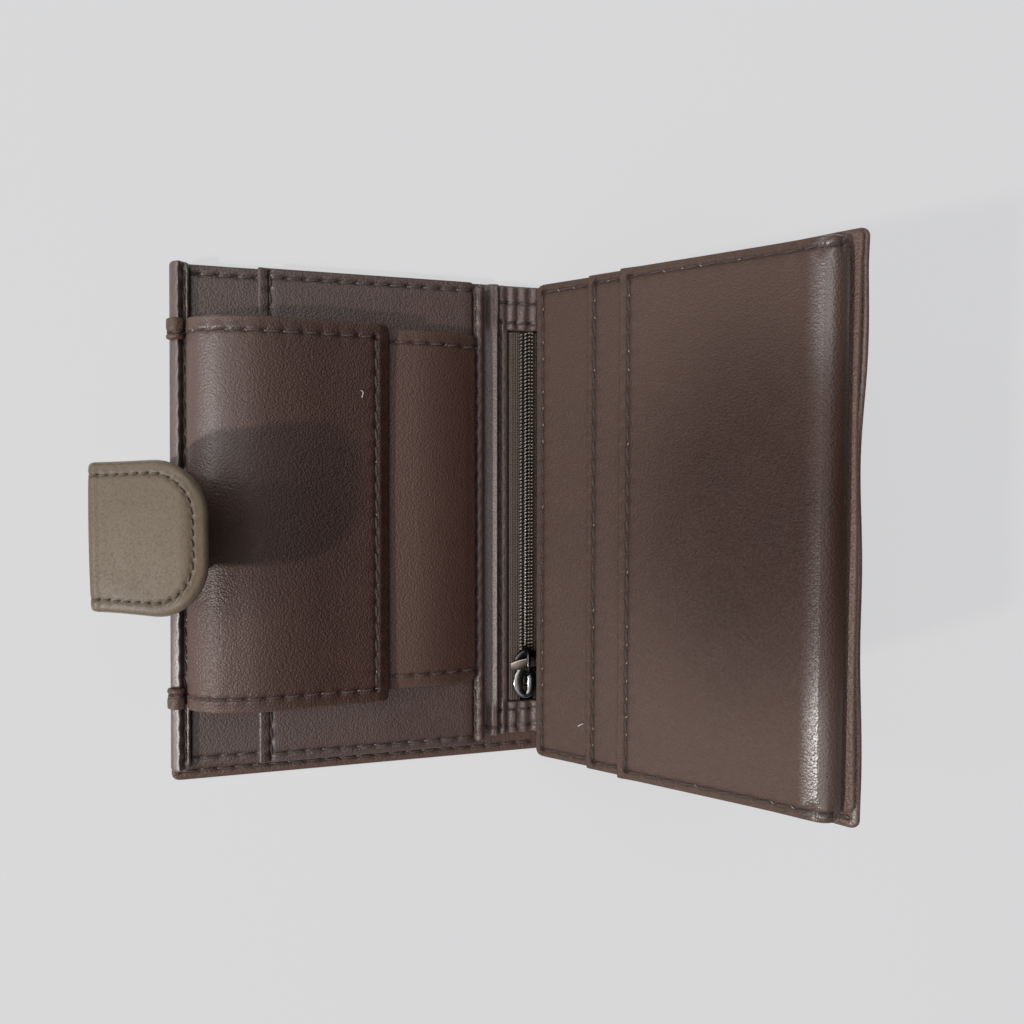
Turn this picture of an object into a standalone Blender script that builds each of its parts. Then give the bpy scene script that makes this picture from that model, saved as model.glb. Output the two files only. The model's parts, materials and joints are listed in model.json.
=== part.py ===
"""Small bifold wallet with a coin pocket, a zip pocket, a turning card page and a closing strap.

Units are metres. +Z is up, +Y runs along the spine, and -X is the side of the left leaf. The origin
lies on the underside of the left cover, at the middle of the left leaf. The wallet lies open: the
left leaf and the spine are flat, and the right leaf is raised about its fold.
"""

import math

import bmesh
import bpy
from mathutils import Vector

# Overall sizes
WALLET_HEIGHT = 0.098
LEAF_WIDTH = 0.061
SPINE_WIDTH = 0.014
FOLD_AXIS_HEIGHT = 0.0035
CLEARANCE = 0.0003

# Leather thicknesses
COVER_THICKNESS = 0.0012
PANEL_THICKNESS = 0.0009
SLOT_THICKNESS = 0.0009
COIN_THICKNESS = 0.0008
FLAP_LINING_THICKNESS = 0.0006
FLAP_THICKNESS = 0.0008
PAGE_THICKNESS = 0.0008
STRAP_THICKNESS = 0.0019

# Resting angles
RIGHT_FOLD_REST = math.radians(54.2)
PAGE_LIFT_REST = math.radians(7.6)
STRAP_REST_FROM_FLAT = math.radians(73.0)
TAB_REST_FROM_STRAIGHT = math.radians(90.0)

# Edges and corners
COVER_CORNER_RADIUS = 0.0015
PANEL_CORNER_RADIUS = 0.0012
EDGE_ROUND = 0.00025
SMOOTH_ANGLE = math.radians(35.0)
CORNER_STEPS = 4
BEND_STEPS = 8
ROUND_STEPS = 20
ROUND_TIP_SHARE = 0.12

# Fold strips, the leather that bends between a leaf and the spine
FOLD_STRIP_HALF_WIDTH = 0.0015

# Inner panels: the banknote compartment is open along the lower edge of the cover
PANEL_TOP_MARGIN = 0.0004
PANEL_BOTTOM_MARGIN = 0.0028
PANEL_OUTER_MARGIN = 0.0004

# Left leaf, measured from the left fold outwards
HEM_WIDTH = 0.0024
HEM_THICKNESS = 0.0006
LEFT_SLOT_LIP_MARGIN = 0.0160
SEAM_START = 0.0004
SEAM_WIDTH = 0.0020
SEAM_RISE = 0.0017
SEAM_END_MARGIN = 0.0009

# Coin pocket
COIN_TOP_MARGIN = 0.0113
COIN_BOTTOM_MARGIN = 0.0166
COIN_MOUTH_MARGIN = 0.0100
COIN_ROOM = 0.0023
COIN_SLOPE_LENGTH = 0.0050
COIN_CORNER_RADIUS = 0.0015
GUSSET_THICKNESS = 0.0004
GUSSET_DEPTH = 0.0045

# Coin flap
FLAP_OVERHANG_TOP = 0.0004
FLAP_OVERHANG_BOTTOM = 0.0018
FLAP_FREE_EDGE = 0.0205
FLAP_CORNER_RADIUS = 0.0010
FLAP_CURL_LENGTH = 0.0056
FLAP_LINING_MARGIN = 0.0016

# Press studs
COIN_STUD_FROM_FREE_EDGE = 0.0065
STUD_HEAD_RADIUS = 0.0022
STUD_NECK_RADIUS = 0.0017
STUD_HEIGHT = 0.0008
STUD_BORE_RADIUS = 0.0008
RIVET_HEAD_RADIUS = 0.0032
RIVET_HEAD_THICKNESS = 0.0003
RIVET_SHANK_RADIUS = 0.0012
SOCKET_RADIUS = 0.0044
SOCKET_PLAY = 0.0004

# Closing strap
STRAP_CENTRE = -0.0008
STRAP_WIDTH = 0.0240
STRAP_ANCHOR_LENGTH = 0.0080
TAB_LENGTH = 0.0183
TAB_SHOULDER_WIDTH = 0.0252
TAB_TIP_RADIUS = 0.0085
TAB_HEEL_RADIUS = 0.0012
TAB_RIM = 0.0018
TAB_LINING_THICKNESS = 0.0006
STRAP_STUD_FROM_CREASE = 0.0095

# Zip
ZIP_FROM_RIGHT_FOLD = 0.0055
ZIP_WINDOW_WIDTH = 0.0072
ZIP_TOP_MARGIN = 0.0095
ZIP_BOTTOM_MARGIN = 0.0110
TAPE_BASE = 0.00215
TAPE_THICKNESS = 0.00035
TEETH_BASE = 0.00215
TEETH_THICKNESS = 0.0012
TEETH_HALF_WIDTH = 0.0012
TEETH_RAIL_WIDTH = 0.00035
TEETH_CENTRE_GAP = 0.0008
TOOTH_PITCH = 0.0012
TOOTH_SHARE = 0.5
STOP_LENGTH = 0.0016
STOP_WIDTH = 0.0032
LINING_BOTTOM_MARGIN = 0.0042

# Zip slider and pull
SLIDER_REST_FROM_END = 0.0085
SLIDER_LENGTH = 0.0090
SLIDER_SHOULDER_WIDTH = 0.0072
SLIDER_NECK_WIDTH = 0.0054
SLIDER_PLATE_THICKNESS = 0.0004
SLIDER_LOWER_WIDTH = 0.0052
SLIDER_CORNER_RADIUS = 0.0016
SLIDER_POST_WIDTH = 0.0003
SLIDER_POST_LENGTH = 0.0014
BRIDGE_LENGTH = 0.0044
BRIDGE_WIDTH = 0.0016
BRIDGE_THICKNESS = 0.0004
BRIDGE_LEG = 0.0006
PULL_THICKNESS = 0.0005
PULL_GAP = 0.0002
PULL_BAR_WIDTH = 0.0005
PULL_WIDTH = 0.0054
PULL_LENGTH = 0.0080
PULL_WINDOW_LENGTH = 0.0023
PULL_SLOT_WIDTH = 0.0013
PULL_SLOT_LENGTH = 0.0026

# Turning page, measured from the right fold outwards and along the page
PAGE_END_MARGIN = 0.0020
PAGE_FREE_EDGE = 0.0018
PAGE_ROLL_MARGIN = 0.0039
PAGE_LOWER_LIP = 0.0118
PAGE_FRONT_LIP = 0.0188
PAGE_CORNER_RADIUS = 0.0022

# Heights of the layers above the outer face of the cover
PANEL_BASE = COVER_THICKNESS + CLEARANCE
PANEL_TOP = PANEL_BASE + PANEL_THICKNESS
SLOT_BASE = PANEL_TOP + CLEARANCE
SLOT_TOP = SLOT_BASE + SLOT_THICKNESS
COIN_BACK_BASE = SLOT_TOP + CLEARANCE
COIN_BACK_TOP = COIN_BACK_BASE + COIN_THICKNESS
COIN_FRONT_BASE = COIN_BACK_TOP + COIN_ROOM
COIN_FRONT_TOP = COIN_FRONT_BASE + COIN_THICKNESS
FLAP_LINING_BASE = COIN_FRONT_TOP + CLEARANCE
FLAP_BASE = FLAP_LINING_BASE + FLAP_LINING_THICKNESS + CLEARANCE
FLAP_AXIS_HEIGHT = SLOT_BASE + FLAP_THICKNESS / 2
PAGE_BACK_BASE = SLOT_BASE
PAGE_BASE_BASE = PAGE_BACK_BASE + PAGE_THICKNESS + CLEARANCE
PAGE_LOWER_BASE = PAGE_BASE_BASE + PAGE_THICKNESS + CLEARANCE
PAGE_FRONT_BASE = PAGE_LOWER_BASE + PAGE_THICKNESS + CLEARANCE
PAGE_FRONT_TOP = PAGE_FRONT_BASE + PAGE_THICKNESS

# Places that several pieces share
LEFT_FOLD_X = LEAF_WIDTH / 2
RIGHT_FOLD_X = LEFT_FOLD_X + SPINE_WIDTH
ZIP_CENTRE = SPINE_WIDTH - ZIP_FROM_RIGHT_FOLD
HALF_HEIGHT = WALLET_HEIGHT / 2
PANEL_UPPER_EDGE = HALF_HEIGHT - PANEL_TOP_MARGIN
PANEL_LOWER_EDGE = -HALF_HEIGHT + PANEL_BOTTOM_MARGIN
LINING_LOWER_EDGE = -HALF_HEIGHT + LINING_BOTTOM_MARGIN
LEAF_START = FOLD_STRIP_HALF_WIDTH + CLEARANCE / 2
FOLD_STRIP_END = FOLD_STRIP_HALF_WIDTH - CLEARANCE / 2
PANEL_OUTER_EDGE = LEAF_WIDTH - PANEL_OUTER_MARGIN
CLOSED_THICKNESS = SPINE_WIDTH + 2 * FOLD_AXIS_HEIGHT
STRAP_RADIUS = STRAP_THICKNESS / 2
STRAP_ROOT_OUT = LEAF_WIDTH + CLEARANCE + STRAP_RADIUS
STRAP_ROOT_HEIGHT = (PANEL_BASE + PANEL_TOP) / 2
STRAP_LENGTH = CLOSED_THICKNESS + CLEARANCE + STRAP_RADIUS - STRAP_ROOT_HEIGHT
PAGE_ROLL_HEIGHT = (PAGE_BACK_BASE + PAGE_FRONT_TOP) / 2
PAGE_ROLL_RADIUS = (PAGE_FRONT_TOP - PAGE_BACK_BASE) / 2
LEFT_SLOT_LIP = LEAF_WIDTH - LEFT_SLOT_LIP_MARGIN
COIN_MOUTH = LEAF_WIDTH - COIN_MOUTH_MARGIN
COIN_UPPER_EDGE = HALF_HEIGHT - COIN_TOP_MARGIN
COIN_LOWER_EDGE = -HALF_HEIGHT + COIN_BOTTOM_MARGIN
COIN_INNER_EDGE = SEAM_START + SEAM_WIDTH + CLEARANCE
FLAP_UPPER_EDGE = COIN_UPPER_EDGE + FLAP_OVERHANG_TOP
FLAP_LOWER_EDGE = COIN_LOWER_EDGE - FLAP_OVERHANG_BOTTOM
FLAP_CENTRE = (FLAP_UPPER_EDGE + FLAP_LOWER_EDGE) / 2
FLAP_HINGE_OUT = PANEL_OUTER_EDGE - HEM_WIDTH - CLEARANCE - FLAP_THICKNESS / 2
PAGE_ROLL_AXIS = LEAF_WIDTH - PAGE_ROLL_MARGIN
PAGE_HEIGHT = WALLET_HEIGHT - 2 * PAGE_END_MARGIN
ZIP_WINDOW_TOP = HALF_HEIGHT - ZIP_TOP_MARGIN
ZIP_WINDOW_BOTTOM = -HALF_HEIGHT + ZIP_BOTTOM_MARGIN
SLIDER_REST = ZIP_WINDOW_BOTTOM + SLIDER_REST_FROM_END
TEETH_TOP = TEETH_BASE + TEETH_THICKNESS
SLIDER_TOP_BASE = TEETH_TOP + CLEARANCE
SLIDER_TOP = SLIDER_TOP_BASE + SLIDER_PLATE_THICKNESS
SLIDER_LOWER_BASE = TAPE_BASE - CLEARANCE - SLIDER_PLATE_THICKNESS
PULL_AXIS_HEIGHT = SLIDER_TOP + PULL_GAP + PULL_THICKNESS / 2


def clear_scene():
    for obj in list(bpy.data.objects):
        bpy.data.objects.remove(obj, do_unlink=True)


def make_material(name, colour, roughness, metallic):
    material = bpy.data.materials.new(name)
    material.use_nodes = True
    shader = material.node_tree.nodes["Principled BSDF"]
    shader.inputs["Base Color"].default_value = (*colour, 1.0)
    shader.inputs["Roughness"].default_value = roughness
    shader.inputs["Metallic"].default_value = metallic
    return material


def leather(name, colour=(0.072, 0.046, 0.038)):
    return make_material(name, colour, 0.5, 0.0)


def tape_cloth(name):
    return make_material(name, (0.030, 0.022, 0.020), 0.85, 0.0)


def dark_nylon(name):
    return make_material(name, (0.014, 0.012, 0.011), 0.45, 0.0)


def dark_metal(name):
    return make_material(name, (0.08, 0.075, 0.075), 0.25, 1.0)


def axis_frame(name, x, y, z, turn, parent=None):
    """An empty on a joint axis. Turn is the angle about +Y that the pieces on it are laid at."""
    frame = bpy.data.objects.new(name, None)
    bpy.context.collection.objects.link(frame)
    frame.parent = parent
    frame.location = (x, y, z)
    frame.rotation_euler = (0, turn, 0)
    return frame


def link_mesh(name, bm, frame, material):
    """Turn a bmesh in the frame's own coordinates into a named object that hangs on the frame."""
    bmesh.ops.recalc_face_normals(bm, faces=bm.faces)
    mesh = bpy.data.meshes.new(name)
    bm.to_mesh(mesh)
    bm.free()
    obj = bpy.data.objects.new(name, mesh)
    bpy.context.collection.objects.link(obj)
    obj.parent = frame
    if material is not None:
        mesh.materials.append(material)
    mesh.shade_smooth()
    mesh.set_sharp_from_angle(angle=SMOOTH_ANGLE)
    return obj


def round_edges(obj, width=EDGE_ROUND, segments=2):
    bevel = obj.modifiers.new("edge_round", "BEVEL")
    bevel.width = width
    bevel.segments = segments
    bevel.limit_method = "ANGLE"
    bevel.angle_limit = SMOOTH_ANGLE
    return obj


def cut_with(obj, cutter):
    """Take the cutter's shape out of the object. The cutter itself isn't part of the wallet."""
    cutter.hide_render = True
    cutter.display_type = "WIRE"
    cut = obj.modifiers.new("cut_" + cutter.name, "BOOLEAN")
    cut.operation = "DIFFERENCE"
    cut.solver = "EXACT"
    cut.object = cutter
    return obj


def rounded_outline(x0, x1, y0, y1, radii):
    """Corner points of a rectangle, counter-clockwise from its lower left, each with its radius."""
    corners = ((x0, y0, 1, 1, 180), (x1, y0, -1, 1, 270), (x1, y1, -1, -1, 0), (x0, y1, 1, -1, 90))
    points = []
    for (x, y, inward_x, inward_y, start), radius in zip(corners, radii):
        if radius == 0:
            points.append((x, y))
            continue
        for step in range(CORNER_STEPS + 1):
            angle = math.radians(start + 90 * step / CORNER_STEPS)
            points.append((x + radius * (inward_x + math.cos(angle)),
                           y + radius * (inward_y + math.sin(angle))))
    return points


def slab(outline, base, thickness):
    """A flat sheet: an outline in the XY plane, extruded up from its base height."""
    bm = bmesh.new()
    face = bm.faces.new([bm.verts.new((x, y, base)) for x, y in outline])
    extruded = bmesh.ops.extrude_face_region(bm, geom=[face])
    moved = [item for item in extruded["geom"] if isinstance(item, bmesh.types.BMVert)]
    bmesh.ops.translate(bm, vec=(0, 0, thickness), verts=moved)
    return bm


def profile_along_y(profile, y0, y1):
    """A section in the XZ plane, extruded along the spine's direction."""
    bm = bmesh.new()
    face = bm.faces.new([bm.verts.new((x, y0, z)) for x, z in profile])
    extruded = bmesh.ops.extrude_face_region(bm, geom=[face])
    moved = [item for item in extruded["geom"] if isinstance(item, bmesh.types.BMVert)]
    bmesh.ops.translate(bm, vec=(0, y1 - y0, 0), verts=moved)
    return bm


def profile_along_x(profile, x0, x1):
    """A section in the YZ plane, extruded across the leaf."""
    bm = bmesh.new()
    face = bm.faces.new([bm.verts.new((x0, y, z)) for y, z in profile])
    extruded = bmesh.ops.extrude_face_region(bm, geom=[face])
    moved = [item for item in extruded["geom"] if isinstance(item, bmesh.types.BMVert)]
    bmesh.ops.translate(bm, vec=(x1 - x0, 0, 0), verts=moved)
    return bm


def turned(profile, x, y):
    """A turned piece about a vertical axis, from points of radius and height, top to bottom."""
    bm = bmesh.new()
    verts = [bm.verts.new((x + radius, y, height)) for radius, height in profile]
    edges = [bm.edges.new(pair) for pair in zip(verts, verts[1:])]
    if profile[0][0] > 0 and profile[-1][0] > 0:
        edges.append(bm.edges.new((verts[-1], verts[0])))
    bmesh.ops.spin(bm, geom=verts + edges, cent=(x, y, 0), axis=(0, 0, 1), angle=math.tau,
                   steps=ROUND_STEPS, use_merge=True, use_duplicate=False)
    bmesh.ops.remove_doubles(bm, verts=bm.verts, dist=CLEARANCE / 100)
    return bm


def round_hole(radius, low, high):
    """Profile of a plain round cutter, for turned()."""
    return [(0, high), (radius, high), (radius, low), (0, low)]


def divide_at(bm, stations):
    """Cut extra edge lines across the sheet, so that it can bend there."""
    for x in stations:
        geometry = bm.verts[:] + bm.edges[:] + bm.faces[:]
        bmesh.ops.bisect_plane(bm, geom=geometry, plane_co=(x, 0, 0), plane_no=(1, 0, 0))
    return bm


def layer(height):
    """Height above the cover's outer face, turned into the height above a fold axis."""
    return height - FOLD_AXIS_HEIGHT


def fold_strip(inner, outer, angle):
    """Section of a strip that turns about a fold axis, between two radii, with a flat foot each side."""
    foot = FOLD_STRIP_END
    outside = [(-foot, -outer)]
    inside = [(-foot, -inner)]
    steps = max(1, round(BEND_STEPS * angle / RIGHT_FOLD_REST))
    for step in range(steps + 1):
        turn = angle * step / steps
        outside.append((outer * math.sin(turn), -outer * math.cos(turn)))
        inside.append((inner * math.sin(turn), -inner * math.cos(turn)))
    end_x = foot * math.cos(angle)
    end_z = foot * math.sin(angle)
    outside.append((end_x + outer * math.sin(angle), end_z - outer * math.cos(angle)))
    inside.append((end_x + inner * math.sin(angle), end_z - inner * math.cos(angle)))
    return outside + inside[::-1]


def left_panel_outline(start, end, radii):
    """Outline of a sheet on the left leaf, from distances out of the left fold, which lie along -X."""
    return rounded_outline(-end, -start, PANEL_LOWER_EDGE, PANEL_UPPER_EDGE, radii)


def build_left_leaf(frame):
    outer_corners = (COVER_CORNER_RADIUS, 0, 0, COVER_CORNER_RADIUS)
    cover = rounded_outline(-LEAF_WIDTH, -LEAF_START, -HALF_HEIGHT, HALF_HEIGHT, outer_corners)
    bm = slab(cover, layer(0), COVER_THICKNESS)
    round_edges(link_mesh("cover_left", bm, frame, leather("cover_left_leather")))

    panel_corners = (PANEL_CORNER_RADIUS, 0, 0, PANEL_CORNER_RADIUS)
    outline = left_panel_outline(LEAF_START, PANEL_OUTER_EDGE, panel_corners)
    panel = link_mesh("inner_panel_left", slab(outline, layer(PANEL_BASE), PANEL_THICKNESS), frame,
                      leather("inner_panel_left_leather"))
    notch_start = PANEL_OUTER_EDGE - STRAP_ANCHOR_LENGTH - CLEARANCE
    notch_half = STRAP_WIDTH / 2 + CLEARANCE
    notch = rounded_outline(-LEAF_WIDTH - STRAP_THICKNESS, -notch_start, STRAP_CENTRE - notch_half,
                            STRAP_CENTRE + notch_half, (0, 0, 0, 0))
    cutter = link_mesh("anchor_notch_cutter", slab(notch, layer(COVER_THICKNESS), SLOT_BASE), frame, None)
    round_edges(cut_with(panel, cutter))

    anchor = rounded_outline(-PANEL_OUTER_EDGE, -PANEL_OUTER_EDGE + STRAP_ANCHOR_LENGTH,
                             STRAP_CENTRE - STRAP_WIDTH / 2, STRAP_CENTRE + STRAP_WIDTH / 2, (0, 0, 0, 0))
    bm = slab(anchor, layer(PANEL_BASE), PANEL_THICKNESS)
    round_edges(link_mesh("strap_anchor", bm, frame, leather("strap_anchor_leather")))

    hem = left_panel_outline(PANEL_OUTER_EDGE - HEM_WIDTH, PANEL_OUTER_EDGE, panel_corners)
    bm = slab(hem, layer(SLOT_BASE), HEM_THICKNESS)
    round_edges(link_mesh("outer_hem_left", bm, frame, leather("outer_hem_left_leather")))

    slot = left_panel_outline(COIN_INNER_EDGE, LEFT_SLOT_LIP, (0, 0, 0, 0))
    bm = slab(slot, layer(SLOT_BASE), SLOT_THICKNESS)
    round_edges(link_mesh("card_slot_left", bm, frame, leather("card_slot_left_leather")))
    build_seam_strip(frame)


def build_seam_strip(frame):
    """Rolled strip beside the spine: a flat foot under a round back."""
    radius = SEAM_WIDTH / 2
    middle = -SEAM_START - radius
    base = layer(SLOT_BASE)
    profile = [(middle + radius, base), (middle + radius, base + SEAM_RISE - radius)]
    for step in range(1, BEND_STEPS):
        angle = math.pi * step / BEND_STEPS
        profile.append((middle + radius * math.cos(angle),
                        base + SEAM_RISE - radius + radius * math.sin(angle)))
    profile += [(middle - radius, base + SEAM_RISE - radius), (middle - radius, base)]
    bm = profile_along_y(profile, PANEL_LOWER_EDGE + SEAM_END_MARGIN, PANEL_UPPER_EDGE - SEAM_END_MARGIN)
    link_mesh("seam_strip", bm, frame, leather("seam_strip_leather"))


def ease(share):
    return share * share * (3 - 2 * share)


def build_coin_pocket(frame):
    corners = (COIN_CORNER_RADIUS, 0, 0, COIN_CORNER_RADIUS)
    back = rounded_outline(-COIN_MOUTH, -COIN_INNER_EDGE, COIN_LOWER_EDGE, COIN_UPPER_EDGE, corners)
    bm = slab(back, layer(COIN_BACK_BASE), COIN_THICKNESS)
    round_edges(link_mesh("coin_pocket_back", bm, frame, leather("coin_pocket_back_leather")))

    front = rounded_outline(-COIN_MOUTH, -COIN_INNER_EDGE, COIN_LOWER_EDGE, COIN_UPPER_EDGE, corners)
    bm = slab(front, layer(COIN_FRONT_BASE), COIN_THICKNESS)
    slope_start = -COIN_INNER_EDGE - COIN_SLOPE_LENGTH
    divide_at(bm, [slope_start + COIN_SLOPE_LENGTH * step / BEND_STEPS for step in range(BEND_STEPS)])
    drop = COIN_ROOM - CLEARANCE
    for vert in bm.verts:
        if vert.co.x > slope_start:
            vert.co.z -= drop * ease((vert.co.x - slope_start) / COIN_SLOPE_LENGTH)
    panel = link_mesh("coin_pocket_front", bm, frame, leather("coin_pocket_front_leather"))
    stud_x = -FLAP_FREE_EDGE - COIN_STUD_FROM_FREE_EDGE
    hole = round_hole(RIVET_SHANK_RADIUS + CLEARANCE, layer(COIN_FRONT_BASE - CLEARANCE),
                      layer(COIN_FRONT_TOP + CLEARANCE))
    cutter = link_mesh("coin_stud_cutter", turned(hole, stud_x, FLAP_CENTRE), frame, None)
    round_edges(cut_with(panel, cutter))
    build_gussets(frame)


def build_gussets(frame):
    """Folded leather between the back and the front of the coin pocket, its crease pointing inwards."""
    foot = layer(COIN_BACK_TOP + CLEARANCE)
    head = layer(COIN_FRONT_BASE - CLEARANCE)
    middle = (foot + head) / 2
    lip = GUSSET_THICKNESS
    ends = (("coin_gusset_top", COIN_UPPER_EDGE, -1), ("coin_gusset_bottom", COIN_LOWER_EDGE, 1))
    for name, edge, inward in ends:
        outer = edge + inward * CLEARANCE
        crease = outer + inward * GUSSET_DEPTH
        profile = [(outer, foot), (crease, middle - lip / 2), (crease, middle + lip / 2), (outer, head),
                   (outer, head - lip), (crease - inward * lip * 2, middle), (outer, foot + lip)]
        end = -COIN_INNER_EDGE - COIN_SLOPE_LENGTH - CLEARANCE
        bm = profile_along_x(profile, -COIN_MOUTH + COIN_CORNER_RADIUS, end)
        link_mesh(name, bm, frame, leather(name + "_leather"))


def build_press_stud(prefix, frame, x, y, panel_base, panel_top, up):
    """Stud head on one side of a sheet and its rivet on the other. Up is 1 or -1."""
    if up > 0:
        seat, back = panel_top, panel_base
    else:
        seat, back = panel_base, panel_top
    foot = seat + up * CLEARANCE / 2
    top = seat + up * STUD_HEIGHT
    waist = (foot + top) / 2
    head = [(STUD_BORE_RADIUS, top), (STUD_NECK_RADIUS, top), (STUD_HEAD_RADIUS, waist),
            (STUD_HEAD_RADIUS, foot), (STUD_BORE_RADIUS, foot)]
    link_mesh(prefix + "_stud", turned(head[::up], x, y), frame, dark_metal(prefix + "_stud_metal"))
    rivet_face = back - up * (CLEARANCE / 2)
    rivet_back = rivet_face - up * RIVET_HEAD_THICKNESS
    shank_end = seat - up * CLEARANCE / 2
    rivet = [(0, shank_end), (RIVET_SHANK_RADIUS, shank_end), (RIVET_SHANK_RADIUS, rivet_face),
             (RIVET_HEAD_RADIUS, rivet_face), (RIVET_HEAD_RADIUS, rivet_back), (0, rivet_back)]
    link_mesh(prefix + "_rivet", turned(rivet[::up], x, y), frame, dark_metal(prefix + "_rivet_metal"))


def build_socket(name, frame, x, y, base, thickness):
    """Ring that the stud head snaps into."""
    hole = STUD_HEAD_RADIUS + SOCKET_PLAY
    edge = SOCKET_RADIUS - thickness / 2
    ring = [(hole, base + thickness), (edge, base + thickness), (SOCKET_RADIUS, base + thickness / 2),
            (SOCKET_RADIUS, base), (hole, base)]
    link_mesh(name, turned(ring, x, y), frame, dark_metal(name + "_metal"))


def build_coin_flap(frame):
    """The flap's frame lies on its hinge axis by the leaf's outer edge, and the flap runs along +X."""
    length = FLAP_HINGE_OUT - FLAP_FREE_EDGE
    lower = FLAP_LOWER_EDGE
    upper = FLAP_UPPER_EDGE
    rise = FLAP_BASE - FLAP_AXIS_HEIGHT
    round_end = FLAP_THICKNESS / 2
    outline = rounded_outline(-round_end, length, lower, upper,
                              (0, FLAP_CORNER_RADIUS, FLAP_CORNER_RADIUS, 0))
    bm = slab(outline, -FLAP_THICKNESS / 2, FLAP_THICKNESS)
    divide_at(bm, [FLAP_CURL_LENGTH * step / BEND_STEPS for step in range(BEND_STEPS + 1)])
    divide_at(bm, round_end_stations(round_end))
    for vert in bm.verts:
        vert.co.z *= round_end_share(vert.co.x, round_end)
        vert.co = curl_point(vert.co, rise + round_end)
    flap = link_mesh("coin_flap", bm, frame, leather("coin_flap_leather"))
    round_edges(flap)

    margin = FLAP_LINING_MARGIN
    base = FLAP_LINING_BASE - FLAP_AXIS_HEIGHT
    lining = rounded_outline(FLAP_CURL_LENGTH + CLEARANCE, length - margin, lower + margin, upper - margin,
                             (0, FLAP_CORNER_RADIUS, FLAP_CORNER_RADIUS, 0))
    panel = link_mesh("coin_flap_lining", slab(lining, base, FLAP_LINING_THICKNESS), frame,
                      leather("coin_flap_lining_leather"))
    stud_x = length - COIN_STUD_FROM_FREE_EDGE
    hole = round_hole(SOCKET_RADIUS + CLEARANCE, base - CLEARANCE,
                      base + FLAP_LINING_THICKNESS + CLEARANCE)
    cutter = link_mesh("coin_socket_cutter", turned(hole, stud_x, FLAP_CENTRE), frame, None)
    round_edges(cut_with(panel, cutter))
    build_socket("coin_flap_socket", frame, stud_x, FLAP_CENTRE, base, FLAP_LINING_THICKNESS)


def round_end_stations(radius):
    """Where to cut a sheet whose end past X = 0 becomes round."""
    return [-radius * math.sin(math.pi / 2 * step / CORNER_STEPS) for step in range(1, CORNER_STEPS)]


def round_end_share(x, radius):
    """Share of the full thickness that is left at a place on the round end."""
    reach = min(1.0, max(0.0, -x / radius))
    return max(ROUND_TIP_SHARE, math.sqrt(1 - reach ** 2))


def curl_point(point, rise):
    """Bend the flap's hinge end down in a quarter of an ellipse to the leaf's outer edge."""
    if point.x <= 0:
        return Vector((-point.z, point.y, point.x))
    if point.x >= FLAP_CURL_LENGTH:
        return Vector((point.x, point.y, point.z + rise))
    angle = math.pi / 2 * point.x / FLAP_CURL_LENGTH
    centre = Vector((FLAP_CURL_LENGTH * (1 - math.cos(angle)), point.y, rise * math.sin(angle)))
    slope = Vector((FLAP_CURL_LENGTH * math.sin(angle), 0, rise * math.cos(angle))).normalized()
    return centre + Vector((-slope.z, 0, slope.x)) * point.z


def strap_outline(start, end, width, heel_radius, tip_radius, tip_width):
    """Outline of a strap piece that runs along -X, wider towards a round tip."""
    points = rounded_outline(-end, -start, STRAP_CENTRE - width / 2, STRAP_CENTRE + width / 2,
                             (tip_radius, heel_radius, heel_radius, tip_radius))
    flare = tip_width / width - 1
    widened = []
    for x, y in points:
        share = (-x - start) / (end - start)
        widened.append((x, STRAP_CENTRE + (y - STRAP_CENTRE) * (1 + flare * share)))
    return widened


def build_strap(frame):
    """The stretch of strap between the leaf's edge and the crease, with a round root on its axis."""
    end = STRAP_LENGTH - STRAP_RADIUS - CLEARANCE
    profile = [(-end, -STRAP_RADIUS)]
    for step in range(BEND_STEPS + 1):
        angle = -math.pi / 2 + math.pi * step / BEND_STEPS
        profile.append((STRAP_RADIUS * math.cos(angle), STRAP_RADIUS * math.sin(angle)))
    profile.append((-end, STRAP_RADIUS))
    bm = profile_along_y(profile, STRAP_CENTRE - STRAP_WIDTH / 2, STRAP_CENTRE + STRAP_WIDTH / 2)
    round_edges(link_mesh("strap_span", bm, frame, leather("strap_span_leather", (0.105, 0.078, 0.064))))


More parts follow.
